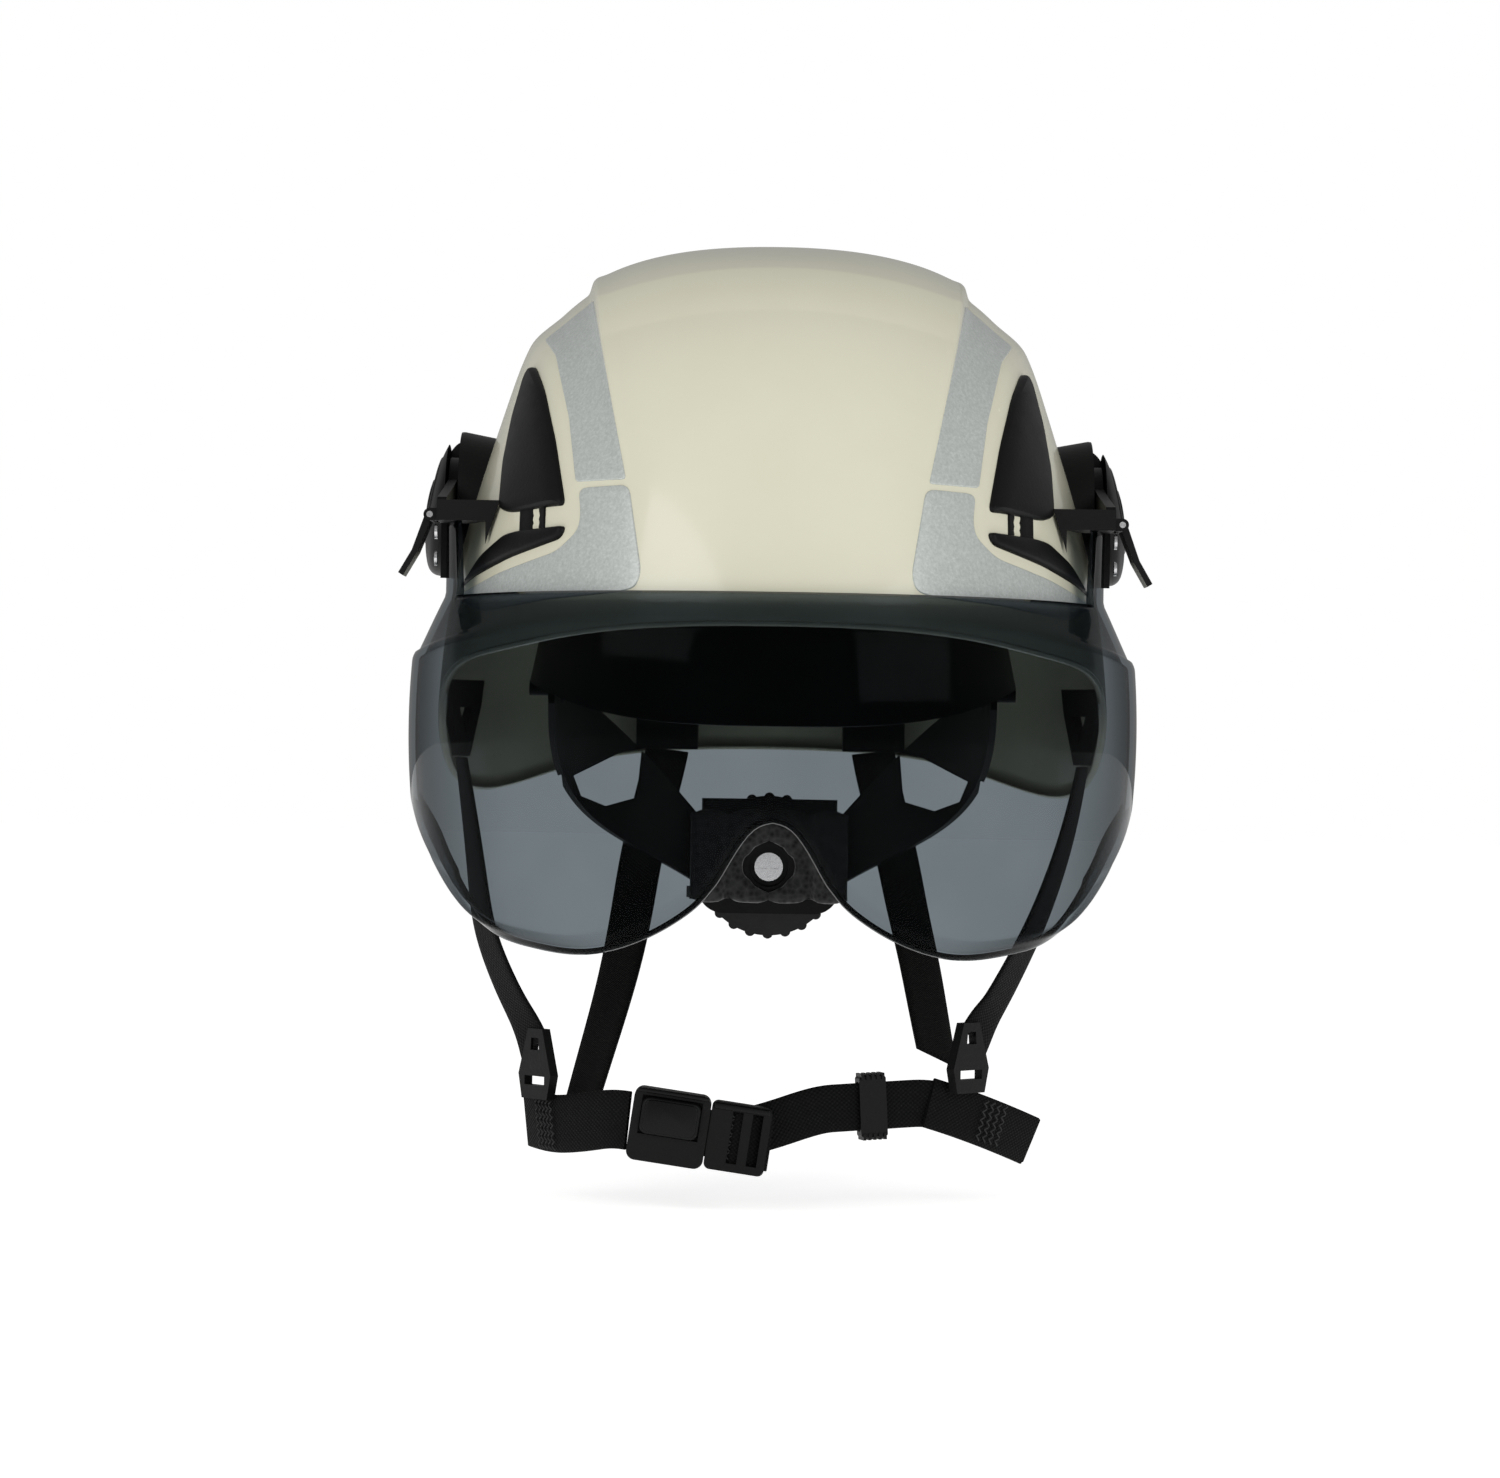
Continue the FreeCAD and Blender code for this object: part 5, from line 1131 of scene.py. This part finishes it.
def swell(name, node, shrink, voxel, cap, channel):
    """A stuffed pad in its CAD solid's place: remeshed, inflated as cloth, then stitched along its channels."""
    source = frame["nodes"][node]
    obj = bpy.data.objects.new(name, source.data.copy())
    bpy.context.scene.collection.objects.link(obj)
    work = bmesh.new()
    work.from_mesh(obj.data)
    bmesh.ops.remove_doubles(work, verts=work.verts, dist=1e-5)
    bmesh.ops.recalc_face_normals(work, faces=work.faces)
    work.normal_update()
    for vert in work.verts:
        vert.co -= vert.normal * shrink
    work.to_mesh(obj.data)
    work.free()
    remesh = obj.modifiers.new("remesh", "REMESH")
    remesh.mode = "VOXEL"
    remesh.voxel_size = voxel
    obj.data = evaluated_mesh(obj)
    obj.modifiers.clear()
    rest = np.array([v.co for v in obj.data.vertices])
    cloth = obj.modifiers.new("inflate", "CLOTH")
    cloth.settings.use_pressure = True
    cloth.settings.uniform_pressure_force = 4.0
    cloth.settings.effector_weights.gravity = 0.0
    cloth.settings.quality = 5
    cloth.settings.tension_stiffness = 20
    cloth.settings.compression_stiffness = 20
    for step in range(1, 21):
        bpy.context.scene.frame_set(step)
    inflated = evaluated_mesh(obj)
    moved = np.array([v.co for v in inflated.vertices]) - rest
    obj.modifiers.clear()
    bpy.context.scene.frame_set(1)
    size = np.linalg.norm(moved, axis=1, keepdims=True)
    moved *= np.minimum(1.0, cap / (size + 1e-12))
    rest = rest + moved
    obj.data.vertices.foreach_set("co", rest.astype(np.float32).ravel())
    obj.data.update()
    subdivide = obj.modifiers.new("fine", "SUBSURF")
    subdivide.levels = subdivide.render_levels = 1
    obj.data = evaluated_mesh(obj)
    obj.modifiers.clear()
    normals = np.array([v.normal for v in obj.data.vertices])
    points = np.array([v.co for v in obj.data.vertices])
    points -= normals * channel(points)[:, None]
    obj.data.vertices.foreach_set("co", points.astype(np.float32).ravel())
    obj.data.update()
    obj.data.materials.clear()
    obj.data.materials.append(PAD)
    obj.data.shade_smooth()
    body = [b for b, nodes_in in frame["record"]["behaviour"]["bodies"].items() if node in nodes_in][0]
    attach(obj, body)
    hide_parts(node)
    return obj


def groove(distance, depth, width):
    return depth * np.exp(-(distance / width) ** 2)


def brow_channels(points):
    """Sewn lines across the pad every 24 degrees round the brow."""
    angle = np.degrees(np.arctan2(points[:, 0], -points[:, 1]))
    off = (angle + 12.0) % 24.0 - 12.0
    return groove(off * np.linalg.norm(points[:, :2], axis=1) * pi / 180, 0.0012, 0.0022)


def nape_channels(points):
    off = (points[:, 0] / MM + 7.0) % 14.0 - 7.0
    return groove(off * MM, 0.0011, 0.002)


def crown_channels(points):
    angle = np.arctan2(points[:, 1], points[:, 0])
    radius = np.linalg.norm(points[:, :2], axis=1)
    off = (angle + pi / 6) % (pi / 3) - pi / 6
    return groove(off * radius, 0.0009, 0.002) * smooth_step(0.004, 0.009, radius)


swell("brow_cushion", "brow_pad", 0.0008, 0.0035, 0.0012, brow_channels)
swell("nape_cushion", "nape_pad", 0.0008, 0.0035, 0.0012, nape_channels)
swell("crown_cushion", "crown_pad", 0.0006, 0.0035, 0.001, crown_channels)


# ------------------------------------------------------------------ hub trim
HUB_Y, HUB_Z, HUB_LEAN, HUB_DEPTH = 0.005, 0.0415, radians(10.8), 0.0155


def build_hub_trim():
    """A raised ring and a shallow centre button on each hub cap."""
    hub_x = side_at(HUB_Y, HUB_Z) * MM
    for side, hand in ((1, "left"), (-1, "right")):
        axis = np.array((cos(HUB_LEAN) * side, 0, sin(HUB_LEAN)))
        up = np.array((-sin(HUB_LEAN) * side, 0, cos(HUB_LEAN)))
        ahead = np.array((0, -1.0, 0))
        centre = np.array((side * hub_x, HUB_Y, HUB_Z))
        for part, profile in (("ring", ((0.0150, 0.0132), (0.0149, 0.0142), (0.0144, 0.0146), (0.0132, 0.0148),
                                        (0.0127, 0.0144), (0.0126, 0.0134))),
                              ("button", ((0.0072, 0.0140), (0.0071, 0.0152), (0.0066, 0.0158), (0.0045, 0.0161),
                                          (0.002, 0.0162), (0.00005, 0.0162)))):
            turns = 64
            points = [centre + axis * d + (up * cos(2 * pi * t / turns) + ahead * sin(2 * pi * t / turns)) * r
                      for t in range(turns) for r, d in profile]
            obj = piece(f"hub_{part}_{hand}", points, strip_faces(turns, len(profile)), SATIN, "root")
            sharpen(outward(obj), 45.0)


build_hub_trim()

for node_name in ("visor_arm_left", "visor_arm_right", "lock_lever_left", "lock_lever_right", "lever_lugs",
                  "divider_left", "divider_right", "buckle_body", "buckle_slider", "strap_keeper",
                  "front_anchor_left", "front_anchor_right", "rear_anchor_left", "rear_anchor_right",
                  "ratchet_housing", "nape_bridge", "nape_wing_left", "nape_wing_right", "hub_cap_left",
                  "hub_cap_right"):
    bevel(frame["nodes"][node_name], 0.0003, 2, 40.0)


# ------------------------------------------------------------------ camera, light, floor
CAMERA_DISTANCE = 1.6
CAMERA_HEIGHT = -0.034
CAMERA_X = -0.0073
FOCAL_PIXELS = 4800.0
IMAGE_WIDTH = 1500.0
SENSOR = 36.0


def build_stage():
    low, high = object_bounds()
    floor_z = low[2] - 0.012
    mesh = bpy.data.meshes.new("floor")
    size = 6.0
    mesh.from_pydata([(-size, -size, floor_z), (size, -size, floor_z), (size, size, floor_z), (-size, size, floor_z)],
                     [], [(0, 1, 2, 3)])
    floor = bpy.data.objects.new("floor", mesh)
    bpy.context.scene.collection.objects.link(floor)
    material, nodes, links, shader = new_material("studio_floor")
    shader.inputs["Base Color"].default_value = (0.9, 0.9, 0.9, 1)
    shader.inputs["Roughness"].default_value = 0.9
    shader.inputs["Emission Color"].default_value = (1, 1, 1, 1)
    shader.inputs["Emission Strength"].default_value = 0.72
    mesh.materials.append(material)


def area_light(name, place_at, look_at, size, power, size_y=None):
    light = bpy.data.lights.new(name, "AREA")
    light.energy = power
    light.size = size
    if size_y:
        light.shape = "RECTANGLE"
        light.size_y = size_y
    obj = bpy.data.objects.new(name, light)
    obj.location = place_at
    obj.rotation_euler = (Vector(look_at) - Vector(place_at)).to_track_quat("-Z", "Y").to_euler()
    bpy.context.scene.collection.objects.link(obj)


def build_camera():
    data = bpy.data.cameras.new("camera")
    data.sensor_width = SENSOR
    data.lens = FOCAL_PIXELS / IMAGE_WIDTH * SENSOR
    camera = bpy.data.objects.new("camera", data)
    camera.location = (CAMERA_X, -CAMERA_DISTANCE, CAMERA_HEIGHT)
    camera.rotation_euler = (radians(90), radians(-0.9), 0)
    bpy.context.scene.collection.objects.link(camera)
    bpy.context.scene.camera = camera


def build_world():
    world = bpy.data.worlds.new("studio")
    world.use_nodes = True
    nodes, links = world.node_tree.nodes, world.node_tree.links
    studio = nodes["Background"]
    studio.inputs["Color"].default_value = (1, 1, 1, 1)
    studio.inputs["Strength"].default_value = 0.34
    backdrop = nodes.new("ShaderNodeBackground")
    backdrop.inputs["Color"].default_value = (1, 1, 1, 1)
    backdrop.inputs["Strength"].default_value = 1.0
    seen = nodes.new("ShaderNodeLightPath")
    choose = nodes.new("ShaderNodeMixShader")
    links.new(seen.outputs["Is Camera Ray"], choose.inputs["Fac"])
    links.new(studio.outputs["Background"], choose.inputs[1])
    links.new(backdrop.outputs["Background"], choose.inputs[2])
    links.new(choose.outputs["Shader"], nodes["World Output"].inputs["Surface"])
    bpy.context.scene.world = world


build_camera()
build_world()
area_light("front_left", (-1.2, -1.6, 0.9), (0, 0, 0), 1.2, 11)
area_light("front_right", (1.2, -1.6, 0.7), (0, 0, 0), 1.2, 10)
build_stage()
bpy.context.scene.view_settings.view_transform = "Standard"
